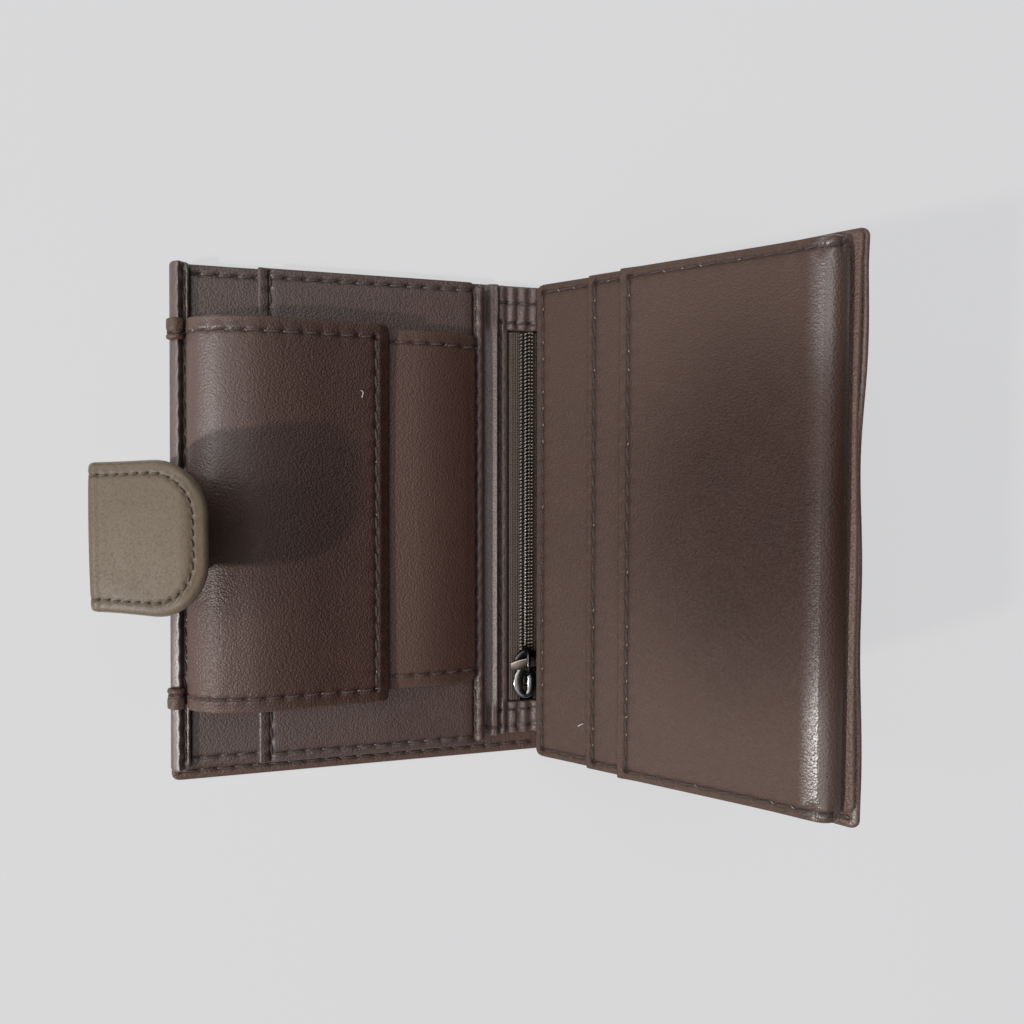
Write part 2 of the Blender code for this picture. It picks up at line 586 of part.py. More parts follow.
def build_tab(frame):
    """The tab's frame lies on the crease. Its outer leather has a turned rim round a recessed lining."""
    colour = (0.105, 0.078, 0.064)
    outline = strap_outline(-STRAP_RADIUS, TAB_LENGTH, STRAP_WIDTH, TAB_HEEL_RADIUS, TAB_TIP_RADIUS,
                            TAB_SHOULDER_WIDTH)
    bm = slab(outline, -STRAP_RADIUS, STRAP_THICKNESS)
    divide_at(bm, [0] + [-x for x in round_end_stations(STRAP_RADIUS)])
    for vert in bm.verts:
        vert.co.z *= round_end_share(-vert.co.x, STRAP_RADIUS)
    tab = link_mesh("strap_tab", bm, frame, leather("strap_tab_leather", colour))
    depth = TAB_LINING_THICKNESS + CLEARANCE
    recess = strap_outline(TAB_RIM, TAB_LENGTH - TAB_RIM, STRAP_WIDTH - 2 * TAB_RIM, TAB_HEEL_RADIUS,
                           TAB_TIP_RADIUS - TAB_RIM, TAB_SHOULDER_WIDTH - 2 * TAB_RIM)
    cutter = link_mesh("tab_recess_cutter", slab(recess, STRAP_RADIUS - depth, 2 * depth), frame, None)
    round_edges(cut_with(tab, cutter))

    inset = TAB_RIM + CLEARANCE
    sheet = strap_outline(inset, TAB_LENGTH - inset, STRAP_WIDTH - 2 * inset, TAB_HEEL_RADIUS,
                          TAB_TIP_RADIUS - inset, TAB_SHOULDER_WIDTH - 2 * inset)
    base = STRAP_RADIUS - TAB_LINING_THICKNESS
    lining = link_mesh("strap_tab_lining", slab(sheet, base, TAB_LINING_THICKNESS), frame,
                       leather("strap_tab_lining_leather", colour))
    hole = round_hole(SOCKET_RADIUS + CLEARANCE, base - CLEARANCE, STRAP_RADIUS + CLEARANCE)
    cutter = link_mesh("tab_socket_cutter", turned(hole, -STRAP_STUD_FROM_CREASE, STRAP_CENTRE), frame, None)
    round_edges(cut_with(lining, cutter))
    build_socket("strap_tab_socket", frame, -STRAP_STUD_FROM_CREASE, STRAP_CENTRE, base,
                 TAB_LINING_THICKNESS)


def build_spine(frame):
    """The spine's frame lies on the left fold axis. The fold strips on both sides bend in use."""
    inner_edge = LEAF_START
    outer_edge = SPINE_WIDTH - LEAF_START
    cover = rounded_outline(inner_edge, outer_edge, -HALF_HEIGHT, HALF_HEIGHT, (0, 0, 0, 0))
    bm = slab(cover, layer(0), COVER_THICKNESS)
    round_edges(link_mesh("cover_spine", bm, frame, leather("cover_spine_leather")))

    sheet = rounded_outline(inner_edge, outer_edge, LINING_LOWER_EDGE, PANEL_UPPER_EDGE, (0, 0, 0, 0))
    lining = link_mesh("spine_lining", slab(sheet, layer(PANEL_BASE), PANEL_THICKNESS), frame,
                       leather("spine_lining_leather"))
    half = ZIP_WINDOW_WIDTH / 2
    window = rounded_outline(ZIP_CENTRE - half, ZIP_CENTRE + half, ZIP_WINDOW_BOTTOM, ZIP_WINDOW_TOP,
                             (0, 0, 0, 0))
    cutter = link_mesh("zip_window_cutter", slab(window, layer(COVER_THICKNESS), SLOT_BASE), frame, None)
    round_edges(cut_with(lining, cutter))

    right = axis_frame("right_fold_strips", SPINE_WIDTH, 0, 0, 0, frame)
    for side, parent, angle in (("left", frame, 0.0), ("right", right, RIGHT_FOLD_REST)):
        outer = fold_strip(FOLD_AXIS_HEIGHT - COVER_THICKNESS, FOLD_AXIS_HEIGHT, angle)
        inner = fold_strip(FOLD_AXIS_HEIGHT - PANEL_TOP, FOLD_AXIS_HEIGHT - PANEL_BASE, angle)
        name = "fold_cover_" + side
        bm = profile_along_y(outer, -HALF_HEIGHT, HALF_HEIGHT)
        link_mesh(name, bm, parent, leather(name + "_leather"))
        name = "fold_lining_" + side
        bm = profile_along_y(inner, LINING_LOWER_EDGE, PANEL_UPPER_EDGE)
        link_mesh(name, bm, parent, leather(name + "_leather"))


def build_zip(frame):
    """Tapes, two rows of teeth and the end stops, in the window of the spine lining."""
    length = ZIP_WINDOW_TOP - ZIP_WINDOW_BOTTOM - 2 * CLEARANCE
    lower = ZIP_WINDOW_BOTTOM + CLEARANCE
    upper = lower + length
    inner = TEETH_HALF_WIDTH + CLEARANCE
    outer = ZIP_WINDOW_WIDTH / 2 - CLEARANCE
    for side, sign in (("left", -1), ("right", 1)):
        near, far = sorted((ZIP_CENTRE + sign * inner, ZIP_CENTRE + sign * outer))
        tape = rounded_outline(near, far, lower, upper, (0, 0, 0, 0))
        name = "zip_tape_" + side
        link_mesh(name, slab(tape, layer(TAPE_BASE), TAPE_THICKNESS), frame, tape_cloth(name + "_cloth"))
        name = "zip_teeth_" + side
        start = lower + STOP_LENGTH + CLEARANCE
        end = upper - STOP_LENGTH - CLEARANCE
        shift = (TOOTH_PITCH / 2) * (sign > 0)
        comb = teeth_outline(sign, start, end, shift)
        link_mesh(name, slab(comb, layer(TEETH_BASE), TEETH_THICKNESS), frame, dark_nylon(name + "_nylon"))
    for name, start in (("zip_stop_bottom", lower), ("zip_stop_top", upper - STOP_LENGTH)):
        block = rounded_outline(ZIP_CENTRE - STOP_WIDTH / 2, ZIP_CENTRE + STOP_WIDTH / 2, start,
                                start + STOP_LENGTH, (0, 0, 0, 0))
        base = TAPE_BASE + TAPE_THICKNESS + CLEARANCE
        bm = slab(block, layer(base), TEETH_TOP - base)
        round_edges(link_mesh(name, bm, frame, dark_metal(name + "_metal")))


def teeth_outline(sign, start, end, shift):
    """Plan of one row: a rail with teeth towards the middle. Shift staggers the two rows."""
    rail_out = TEETH_HALF_WIDTH
    rail_in = TEETH_HALF_WIDTH - TEETH_RAIL_WIDTH
    tip = TEETH_CENTRE_GAP / 2
    count = int((end - start - shift) / TOOTH_PITCH)
    points = [(rail_out, end), (rail_out, start), (rail_in, start)]
    for index in range(count):
        foot = start + shift + TOOTH_PITCH * (index + (1 - TOOTH_SHARE) / 2)
        head = foot + TOOTH_PITCH * TOOTH_SHARE
        points += [(rail_in, foot), (tip, foot), (tip, head), (rail_in, head)]
    points.append((rail_in, end))
    return [(ZIP_CENTRE + sign * x, y) for x, y in points]


def slider_outline():
    """Plan of the slider's top plate: wide shoulders at the lower end, a narrow neck at the upper."""
    half_length = SLIDER_LENGTH / 2
    shoulder = SLIDER_SHOULDER_WIDTH / 2
    points = rounded_outline(-shoulder, shoulder, -half_length, half_length, (SLIDER_CORNER_RADIUS,) * 4)
    shaped = []
    for x, y in points:
        share = (y + half_length) / SLIDER_LENGTH
        narrow = 1 + (SLIDER_NECK_WIDTH / SLIDER_SHOULDER_WIDTH - 1) * ease(share)
        shaped.append((x * narrow, y))
    return shaped


def build_slider(frame):
    """Zip slider: two plates joined by a post, side walls that stop above the tape, and a bridge."""
    top = link_mesh("zip_slider", slab(slider_outline(), layer(SLIDER_TOP_BASE), SLIDER_PLATE_THICKNESS),
                    frame, dark_metal("zip_slider_metal"))
    half_length = SLIDER_LENGTH / 2
    wall_base = layer(TAPE_BASE + TAPE_THICKNESS + CLEARANCE)
    overlap = SLIDER_PLATE_THICKNESS / 2
    wall_height = layer(SLIDER_TOP_BASE) + overlap - wall_base
    inner = TEETH_HALF_WIDTH + CLEARANCE
    outer = SLIDER_NECK_WIDTH / 2
    wall_end = half_length - SLIDER_CORNER_RADIUS
    pieces = []
    for side, sign in (("left", -1), ("right", 1)):
        near, far = sorted((sign * inner, sign * outer))
        wall = rounded_outline(near, far, -wall_end, wall_end, (0, 0, 0, 0))
        pieces.append(link_mesh("slider_wall_" + side, slab(wall, wall_base, wall_height), frame, None))
    lower_half = SLIDER_LOWER_WIDTH / 2
    plate = rounded_outline(-lower_half, lower_half, -half_length, wall_end, (SLIDER_CORNER_RADIUS,) * 4)
    pieces.append(link_mesh("slider_lower_plate",
                            slab(plate, layer(SLIDER_LOWER_BASE), SLIDER_PLATE_THICKNESS), frame, None))
    post_half = SLIDER_POST_WIDTH / 2
    post = rounded_outline(-post_half, post_half, -half_length + CLEARANCE,
                           -half_length + CLEARANCE + SLIDER_POST_LENGTH, (0, 0, 0, 0))
    post_base = layer(SLIDER_LOWER_BASE) + overlap
    post_height = layer(SLIDER_TOP_BASE) + overlap - post_base
    pieces.append(link_mesh("slider_post", slab(post, post_base, post_height), frame, None))
    pieces.append(link_mesh("slider_bridge", bridge_mesh(overlap), frame, None))
    for piece in pieces:
        join_into(top, piece)
    round_edges(top, EDGE_ROUND / 2, 1)


def bridge_mesh(overlap):
    """Arch along the slider, over the pull's bar."""
    half = BRIDGE_LENGTH / 2
    base = layer(SLIDER_TOP) - overlap
    ceiling = layer(PULL_AXIS_HEIGHT) + PULL_THICKNESS / 2 + PULL_GAP
    roof = ceiling + BRIDGE_THICKNESS
    shoulder = BRIDGE_THICKNESS
    inner = half - BRIDGE_LEG
    profile = [(-half, base), (-half, roof - shoulder), (-half + shoulder, roof), (half - shoulder, roof),
               (half, roof - shoulder), (half, base), (inner, base), (inner, ceiling), (-inner, ceiling),
               (-inner, base)]
    return profile_along_x(profile, -BRIDGE_WIDTH / 2, BRIDGE_WIDTH / 2)


def join_into(obj, piece):
    """Weld a piece to the object. The piece stays only as a guide for the union."""
    piece.hide_render = True
    piece.display_type = "WIRE"
    union = obj.modifiers.new("join_" + piece.name, "BOOLEAN")
    union.operation = "UNION"
    union.solver = "EXACT"
    union.object = piece


def build_pull(frame):
    """Zip pull: a flat drop with a window for the bridge and a slot near its tip, along -Y."""
    half = PULL_WIDTH / 2
    bar = PULL_BAR_WIDTH / 2
    points = [(half, bar), (-half, bar)]
    neck = PULL_WINDOW_LENGTH + 2 * bar
    points += [(-half, -neck)]
    for step in range(1, ROUND_STEPS // 2):
        angle = math.pi + math.pi * step / (ROUND_STEPS // 2)
        points.append((half * math.cos(angle), -neck + (PULL_LENGTH - neck) * math.sin(angle)))
    points += [(half, -neck)]
    pull = link_mesh("zip_pull", slab(points, -PULL_THICKNESS / 2, PULL_THICKNESS), frame,
                     dark_metal("zip_pull_metal"))
    window_half = BRIDGE_WIDTH / 2 + CLEARANCE
    window = rounded_outline(-window_half, window_half, -bar - PULL_WINDOW_LENGTH, -bar, (0, 0, 0, 0))
    slot_half = PULL_SLOT_WIDTH / 2
    slot_top = -neck - PULL_BAR_WIDTH
    slot = rounded_outline(-slot_half, slot_half, slot_top - PULL_SLOT_LENGTH, slot_top, (slot_half,) * 4)
    for name, outline in (("pull_window_cutter", window), ("pull_slot_cutter", slot)):
        cut_with(pull, link_mesh(name, slab(outline, -PULL_THICKNESS, 2 * PULL_THICKNESS), frame, None))
    round_edges(pull, EDGE_ROUND / 2, 1)


def build_right_leaf(frame):
    """The right leaf's frame lies on the right fold axis, and the leaf runs along +X."""
    outer_corners = (0, COVER_CORNER_RADIUS, COVER_CORNER_RADIUS, 0)
    sheet = rounded_outline(LEAF_START, LEAF_WIDTH, -HALF_HEIGHT, HALF_HEIGHT, outer_corners)
    cover = link_mesh("cover_right", slab(sheet, layer(0), COVER_THICKNESS), frame,
                      leather("cover_right_leather"))
    stud_x = STRAP_ROOT_OUT - STRAP_STUD_FROM_CREASE
    hole = round_hole(RIVET_SHANK_RADIUS + CLEARANCE, layer(-CLEARANCE), layer(PANEL_BASE))
    cutter = link_mesh("strap_stud_cutter", turned(hole, stud_x, STRAP_CENTRE), frame, None)
    cut_with(cover, cutter)
    rivet_seat = COVER_THICKNESS - RIVET_HEAD_THICKNESS - CLEARANCE
    sink = round_hole(RIVET_HEAD_RADIUS + CLEARANCE, layer(rivet_seat), layer(PANEL_BASE))
    cutter = link_mesh("strap_rivet_cutter", turned(sink, stud_x, STRAP_CENTRE), frame, None)
    round_edges(cut_with(cover, cutter))
    build_press_stud("strap", frame, stud_x, STRAP_CENTRE, layer(0), layer(rivet_seat) + CLEARANCE / 2, -1)

    panel_corners = (0, PANEL_CORNER_RADIUS, PANEL_CORNER_RADIUS, 0)
    outline = rounded_outline(LEAF_START, PANEL_OUTER_EDGE, PANEL_LOWER_EDGE, PANEL_UPPER_EDGE,
                              panel_corners)
    bm = slab(outline, layer(PANEL_BASE), PANEL_THICKNESS)
    round_edges(link_mesh("inner_panel_right", bm, frame, leather("inner_panel_right_leather")))


def roll_point(point, middle):
    """Bend the outer end of the page's front leather half way round the roll."""
    if point.x <= 0:
        return point.copy()
    angle = point.x / middle
    radius = point.z
    return Vector((radius * math.sin(angle), point.y, radius * math.cos(angle)))


def build_page(frame):
    """The page's frame lies on the axis of its roll, and the page runs along -X to its free edge."""
    free_edge = PAGE_FREE_EDGE - PAGE_ROLL_AXIS
    half = PAGE_HEIGHT / 2
    radius = PAGE_CORNER_RADIUS
    base_of = {"page_back": PAGE_BACK_BASE, "page_base": PAGE_BASE_BASE, "page_slot": PAGE_LOWER_BASE}
    starts = {"page_back": free_edge, "page_base": free_edge, "page_slot": free_edge + PAGE_LOWER_LIP}
    ends = {"page_back": -CLEARANCE, "page_base": 0, "page_slot": 0}
    for name in ("page_back", "page_base", "page_slot"):
        corner = 0 if name == "page_slot" else radius
        outline = rounded_outline(starts[name], ends[name], -half, half, (corner, 0, 0, corner))
        bm = slab(outline, base_of[name] - PAGE_ROLL_HEIGHT, PAGE_THICKNESS)
        round_edges(link_mesh(name, bm, frame, leather(name + "_leather")))
    middle = PAGE_ROLL_RADIUS - PAGE_THICKNESS / 2
    turn_length = math.pi * middle
    outline = rounded_outline(free_edge + PAGE_FRONT_LIP, turn_length, -half, half, (0, 0, 0, 0))
    bm = slab(outline, PAGE_FRONT_BASE - PAGE_ROLL_HEIGHT, PAGE_THICKNESS)
    divide_at(bm, [turn_length * step / (2 * BEND_STEPS) for step in range(2 * BEND_STEPS)])
    for vert in bm.verts:
        vert.co = roll_point(vert.co, middle)
    round_edges(link_mesh("page_front", bm, frame, leather("page_front_leather")))


def build_wallet():
    clear_scene()
    left = axis_frame("left_fold_axis", LEFT_FOLD_X, 0, FOLD_AXIS_HEIGHT, 0)
    build_left_leaf(left)
    build_coin_pocket(left)
    stud_x = -FLAP_FREE_EDGE - COIN_STUD_FROM_FREE_EDGE
    build_press_stud("coin", left, stud_x, FLAP_CENTRE, layer(COIN_FRONT_BASE), layer(COIN_FRONT_TOP), 1)
    flap = axis_frame("coin_flap_axis", LEFT_FOLD_X - FLAP_HINGE_OUT, 0, FLAP_AXIS_HEIGHT, 0)
    build_coin_flap(flap)
    strap = axis_frame("strap_axis", LEFT_FOLD_X - STRAP_ROOT_OUT, 0, STRAP_ROOT_HEIGHT,
                       STRAP_REST_FROM_FLAT)
    build_strap(strap)
    tab = axis_frame("tab_axis", -STRAP_LENGTH, 0, 0, TAB_REST_FROM_STRAIGHT, strap)
    build_tab(tab)
    build_spine(left)
    build_zip(left)
    slider = axis_frame("zip_slider_axis", ZIP_CENTRE, SLIDER_REST, 0, 0, left)
    build_slider(slider)
    pull = axis_frame("zip_pull_axis", 0, 0, layer(PULL_AXIS_HEIGHT), 0, slider)
    build_pull(pull)
    right = axis_frame("right_fold_axis", RIGHT_FOLD_X, 0, FOLD_AXIS_HEIGHT, -RIGHT_FOLD_REST)
    build_right_leaf(right)
    page = axis_frame("page_axis", PAGE_ROLL_AXIS, 0, layer(PAGE_ROLL_HEIGHT), PAGE_LIFT_REST, right)
    build_page(page)


build_wallet()
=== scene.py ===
import json
import math
import random

import bmesh
import bpy
import numpy as np
from mathutils import Matrix, Vector


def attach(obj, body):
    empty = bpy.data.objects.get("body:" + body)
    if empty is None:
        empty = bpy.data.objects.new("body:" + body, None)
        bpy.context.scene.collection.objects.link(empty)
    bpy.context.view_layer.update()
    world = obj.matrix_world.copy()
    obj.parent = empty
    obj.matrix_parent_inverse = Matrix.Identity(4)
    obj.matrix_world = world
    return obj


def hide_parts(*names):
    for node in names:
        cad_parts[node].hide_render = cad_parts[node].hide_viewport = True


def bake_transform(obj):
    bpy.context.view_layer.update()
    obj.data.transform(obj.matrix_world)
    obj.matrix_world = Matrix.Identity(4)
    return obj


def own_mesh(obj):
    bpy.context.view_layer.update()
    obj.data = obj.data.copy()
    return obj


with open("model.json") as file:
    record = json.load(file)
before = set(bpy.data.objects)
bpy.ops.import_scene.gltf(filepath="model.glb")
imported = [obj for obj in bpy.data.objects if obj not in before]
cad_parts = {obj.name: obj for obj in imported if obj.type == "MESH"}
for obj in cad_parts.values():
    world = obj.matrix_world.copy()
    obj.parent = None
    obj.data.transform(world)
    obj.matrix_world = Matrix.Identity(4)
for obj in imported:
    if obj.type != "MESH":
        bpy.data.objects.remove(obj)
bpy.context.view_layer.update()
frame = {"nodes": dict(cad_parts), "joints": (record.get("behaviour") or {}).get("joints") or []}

# Rest angles, as in the CAD
RIGHT_TURN = math.radians(54.2)
PAGE_LIFT = math.radians(7.6)
STRAP_TURN = math.radians(73.0)
TAB_TURN = STRAP_TURN + math.radians(90.0)

# Sheets and seams, in metres
HALF_HEIGHT = 0.049
GRID_STEP = 0.00085
LEAST_GAP = 0.00006
LEAST_THICKNESS = 0.00004
SEAM_PITCH = 0.0033
SEAM_INSET = 0.0018
FLAP_INSET = 0.0027
PAGE_INSET = 0.0016
GROOVE_DEPTH = 0.00013
GROOVE_WIDTH = 0.00046
HOLE_DEPTH = 0.00026
HOLE_WIDTH = 0.00045
RIDGE = 0.00018
RIDGE_PLACE = 0.00052
RIDGE_WIDTH = 0.00027
HEM_PUFF = 0.00004
WORN_WIDTH = 0.0005
NEAR_EDGE = 0.0035
LEAN = 0.0011
LEAN_RUN = 0.059
SLOPE_RUN = 0.0125
SLOPE_DROP = 0.0021

# Closing strap, in metres
STRAP_HALF = 0.00085
STRAP_INSET = 0.0021
STRAP_PITCH = 0.0017
STRAP_SEAM_DEPTH = 0.30
TAB_CORNER = 0.0088

# Thread, in metres
THREAD_RADIUS = 0.00022
THREAD_LIFT = 0.00006
THREAD_DIP = 0.00036
SPECK_SHARE = 0.4
SPECK_REACH = 0.00022
COIL_PITCH = 0.00074

# Looks
POLISHED = 0.37
SHARP_ANGLE = math.radians(50.0)
BELOW_FLOOR = 0.00002
LIGHT_DISTANCE = 1.5

# Camera, from the fit to the photograph
CAMERA_PLACE = (-0.0037, 0.0078, 0.1557)
CAMERA_YAW = math.radians(-14.6)
CAMERA_PITCH = math.radians(-2.12)
CAMERA_ROLL = math.radians(0.05)
FOCAL_PIXELS = 760.0
PHOTO_PIXELS = 1024.0
SENSOR_WIDTH = 36.0


# Frames of the moving bodies

def joint_place(name, turn=0.0):
    joint = next(j for j in frame["joints"] if j["name"] == name)
    return Matrix.Translation(joint["pos_m"]) @ Matrix.Rotation(turn, 4, "Y")


LEFT = joint_place("left_fold")
RIGHT = joint_place("right_fold", -RIGHT_TURN)
PAGE = joint_place("page_turn", PAGE_LIFT - RIGHT_TURN)
FLAP = joint_place("coin_flap_hinge")
STRAP = joint_place("strap_root", STRAP_TURN)
TAB = joint_place("tab_fold", TAB_TURN)
SLIDER = joint_place("zip_slide")
PULL = joint_place("zip_pull_hinge")
HALF_SPINE = (LEFT.translation.x + RIGHT.translation.x) / 2
ZIP_X = SLIDER.translation.x


def box_of(node, place=Matrix.Identity(4)):
    """Low and high side of a CAD node on each axis, in a place's own coordinates."""
    inverse = place.inverted()
    points = np.array([inverse @ v.co for v in frame["nodes"][node].data.vertices])
    low, high = points.min(0), points.max(0)
    return low[0], high[0], low[1], high[1], low[2], high[2]


# Materials

class Nodes:
    """Short names for adding and joining the shader nodes of a material or a world."""

    def __init__(self, owner):
        owner.use_nodes = True
        self.tree = owner.node_tree

    def feed(self, socket, value):
        """Join an output to a socket, or set the socket to a number, a direction or a colour."""
        if isinstance(value, bpy.types.NodeSocket):
            self.tree.links.new(value, socket)
        else:
            socket.default_value = (*value, 1.0) if isinstance(value, tuple) else value

    def add(self, kind, output, inputs=None, **settings):
        """Add a node, feed its inputs and return one of its outputs."""
        node = self.tree.nodes.new(kind)
        for key, value in settings.items():
            setattr(node, key, value)
        for key, value in (inputs or {}).items():
            self.feed(node.inputs[key], value)
        return node.outputs[output]

    def spread(self, value, low, high, to_low, to_high, **settings):
        limits = {"From Min": low, "From Max": high, "To Min": to_low, "To Max": to_high}
        return self.add("ShaderNodeMapRange", "Result", {"Value": value, **limits}, **settings)

    def math(self, operation, a, b):
        return self.add("ShaderNodeMath", "Value", {0: a, 1: b}, operation=operation)

    def blend(self, share, a, b, kind="MIX"):
        colours = {"Factor": share, 6: a, 7: b}
        return self.add("ShaderNodeMix", 2, colours, data_type="RGBA", blend_type=kind)


class Skin(Nodes):
    """A new material round its Principled shader."""

    def __init__(self, name):
        self.material = bpy.data.materials.new(name)
        super().__init__(self.material)
        self.shader = self.tree.nodes["Principled BSDF"]
        self.place = self.add("ShaderNodeTexCoord", "Object")

    def shade(self, inputs):
        for key, value in inputs.items():
            self.feed(self.shader.inputs[key], value)

    def noise(self, scale, detail=2.0, roughness=0.5):
        inputs = {"Vector": self.place, "Scale": scale, "Detail": detail, "Roughness": roughness}
        return self.add("ShaderNodeTexNoise", "Fac", inputs)

    def wave(self, scale, distortion, direction):
        inputs = {"Vector": self.place, "Scale": scale, "Distortion": distortion}
        return self.add("ShaderNodeTexWave", "Fac", inputs, wave_type="BANDS", bands_direction=direction)

    def bump(self, height, distance, strength=1.0, normal=None):
        inputs = {"Strength": strength, "Distance": distance, "Height": height}
        if normal is not None:
            inputs["Normal"] = normal
        return self.add("ShaderNodeBump", "Normal", inputs)

    def attribute(self, name):
        return self.add("ShaderNodeAttribute", "Fac", attribute_name=name)


def darker(colour, share):
    return tuple(share * c for c in colour)


def leather_material(name, dark, light, worn, roughness=(0.40, 0.48), grain=0.00007, crease=0.10, shine=0.5,
                     glaze=0.0, glaze_roughness=0.30, bloom=None):
    """Coated leather: fine pebbled grain, soft colour drift, paler turned edges, painted shade along the
    seams and, where a paler colour is given, painted light and shade by place.
    """
    skin = Skin(name)
    pebbles = skin.add("ShaderNodeTexVoronoi", "Distance",
                       {"Vector": skin.place, "Scale": 3000.0, "Randomness": 0.9}, feature="SMOOTH_F1")
    valley = skin.spread(pebbles, 0.30, 0.75, 0.0, 0.50)
    colour = skin.blend(skin.spread(skin.noise(95.0, 3.0, 0.55), 0.3, 0.7, 0.0, 1.0), dark, light)
    colour = skin.blend(valley, colour, darker(dark, 0.55))
    # painted light and shade: a paler colour mixed in by each point's share
    if bloom:
        colour = skin.blend(skin.attribute("bloom"), colour, bloom)
    scuffs = skin.spread(skin.noise(900.0, 3.0), 0.35, 0.7, 0.15, 0.6)
    colour = skin.blend(skin.math("MULTIPLY", skin.attribute("wear"), scuffs), colour, worn)
    # painted shade along the stitch grooves
    seam = skin.spread(skin.attribute("seam"), 0.0, 1.0, 0.0, 0.45)
    colour = skin.blend(seam, colour, darker(dark, 0.4))
    patches = skin.spread(skin.noise(260.0, 4.0, 0.6), 0.3, 0.7, *roughness)
    rough = skin.math("ADD", patches, skin.spread(pebbles, 0.2, 0.8, -0.03, 0.06))
    polish = skin.math("MULTIPLY", skin.attribute("polish"), roughness[0] - POLISHED)
    height = skin.spread(pebbles, 0.1, 0.8, 1.0, 0.0)
    creases = skin.bump(skin.noise(300.0, 3.0, 0.5), 0.00010, crease)
    pores = skin.bump(skin.noise(6500.0, 2.0, 0.5), grain / 3, 0.5, creases)
    skin.shade({"Base Color": colour, "Roughness": skin.math("SUBTRACT", rough, polish),
                "Normal": skin.bump(height, grain, 0.9, pores), "IOR": 1.5, "Specular IOR Level": shine})
    if glaze:
        skin.shade({"Coat Weight": skin.math("MULTIPLY", skin.attribute("polish"), glaze),
                    "Coat Normal": skin.bump(height, grain, 0.32), "Coat Roughness": glaze_roughness})
    return skin.material


def thread_material(name, colour, glint, roughness):
    """Twisted sewing thread."""
    skin = Skin(name)
    twist = skin.wave(1500.0, 1.2, "DIAGONAL")
    fuzz = skin.spread(skin.noise(2500.0), 0.3, 0.7, roughness - 0.08, roughness + 0.08)
    skin.shade({"Base Color": skin.blend(twist, colour, glint), "Roughness": fuzz,
                "Normal": skin.bump(twist, 0.00004, 0.8), "Specular IOR Level": 0.25})
    return skin.material


def tape_material():
    """Woven zip tape: a fine herringbone of dark yarn."""
    skin = Skin("zip_tape_weave")
    weave = skin.math("MULTIPLY", skin.wave(620.0, 0.6, "X"), skin.wave(900.0, 0.6, "Y"))
    colour = skin.blend(weave, (0.008, 0.0052, 0.0036), (0.165, 0.111, 0.074))
    dust = skin.spread(skin.noise(700.0), 0.3, 0.7, 0.0, 0.3)
    skin.shade({"Base Color": skin.blend(dust, colour, (0.05, 0.045, 0.04)),
                "Roughness": skin.spread(skin.noise(1800.0), 0.3, 0.7, 0.7, 0.9),
                "Normal": skin.bump(weave, 0.00012, 0.9)})
    return skin.material


def nylon_material():
    """Dark, smooth nylon of the coil."""
    skin = Skin("zip_coil_nylon")
    skin.shade({"Base Color": skin.blend(skin.noise(800.0), (0.010, 0.009, 0.009), (0.022, 0.020, 0.019)),
                "Roughness": skin.spread(skin.noise(1500.0), 0.3, 0.7, 0.25, 0.4),
                "Normal": skin.bump(skin.noise(4000.0), 0.00001, 0.5)})
    return skin.material


def metal_material(name, dark, light, roughness):
    """Polished plated metal with faint smudges and scuffs."""
    skin = Skin(name)
    smudge = skin.noise(450.0, 4.0, 0.6)
    skin.shade({"Base Color": skin.blend(skin.spread(smudge, 0.35, 0.7, 0.0, 1.0), dark, light),
                "Roughness": skin.spread(smudge, 0.3, 0.7, roughness, roughness + 0.14),
                "Normal": skin.bump(skin.noise(2200.0, 3.0), 0.00001, 0.4), "Metallic": 1.0})
    return skin.material


# The paler colours given last are for painted light; each sheet's share of painted light sets where they show
BROWN = leather_material("brown_leather", (0.027, 0.0106, 0.0068), (0.035, 0.0142, 0.0094),
                         (0.100, 0.062, 0.047), grain=0.00010, shine=0.24, glaze=0.52,
                         glaze_roughness=0.38, bloom=(0.062, 0.0340, 0.0265))
PAGE_BROWN = leather_material("page_leather", (0.0200, 0.0078, 0.0046), (0.0255, 0.0102, 0.0064),
                              (0.085, 0.054, 0.042), (0.50, 0.56), 0.00011, shine=0.13, glaze=1.0,
                              bloom=(0.0630, 0.0395, 0.0320))
PANEL_BROWN = leather_material("panel_leather", (0.034, 0.0158, 0.0114), (0.048, 0.0235, 0.0175),
                               (0.092, 0.062, 0.050), (0.40, 0.50))
HEM_BROWN = leather_material("hem_leather", (0.040, 0.0205, 0.0155), (0.058, 0.0310, 0.0240),
                             (0.120, 0.090, 0.075), (0.44, 0.50), 0.00003, glaze=0.45,
                             glaze_roughness=0.46)
# Lining leather: its own brown, raised and greyed as a painted sheen
LINING_BROWN_PAINTED_SHEEN = leather_material("lining_leather", (0.052, 0.0305, 0.0245), (0.072, 0.0440, 0.0365),
                                (0.125, 0.095, 0.080), (0.42, 0.50), 0.00007)
TAUPE = leather_material("strap_leather", (0.092, 0.066, 0.043), (0.106, 0.077, 0.051),
                         (0.160, 0.122, 0.090), (0.42, 0.50), 0.000010, 0.03, shine=0.20, glaze=0.5)
THREAD = thread_material("dark_thread", (0.0190, 0.0138, 0.0117), (0.070, 0.052, 0.045), 0.7)
TAUPE_THREAD = thread_material("taupe_thread", (0.066, 0.046, 0.031), (0.098, 0.071, 0.050), 0.7)
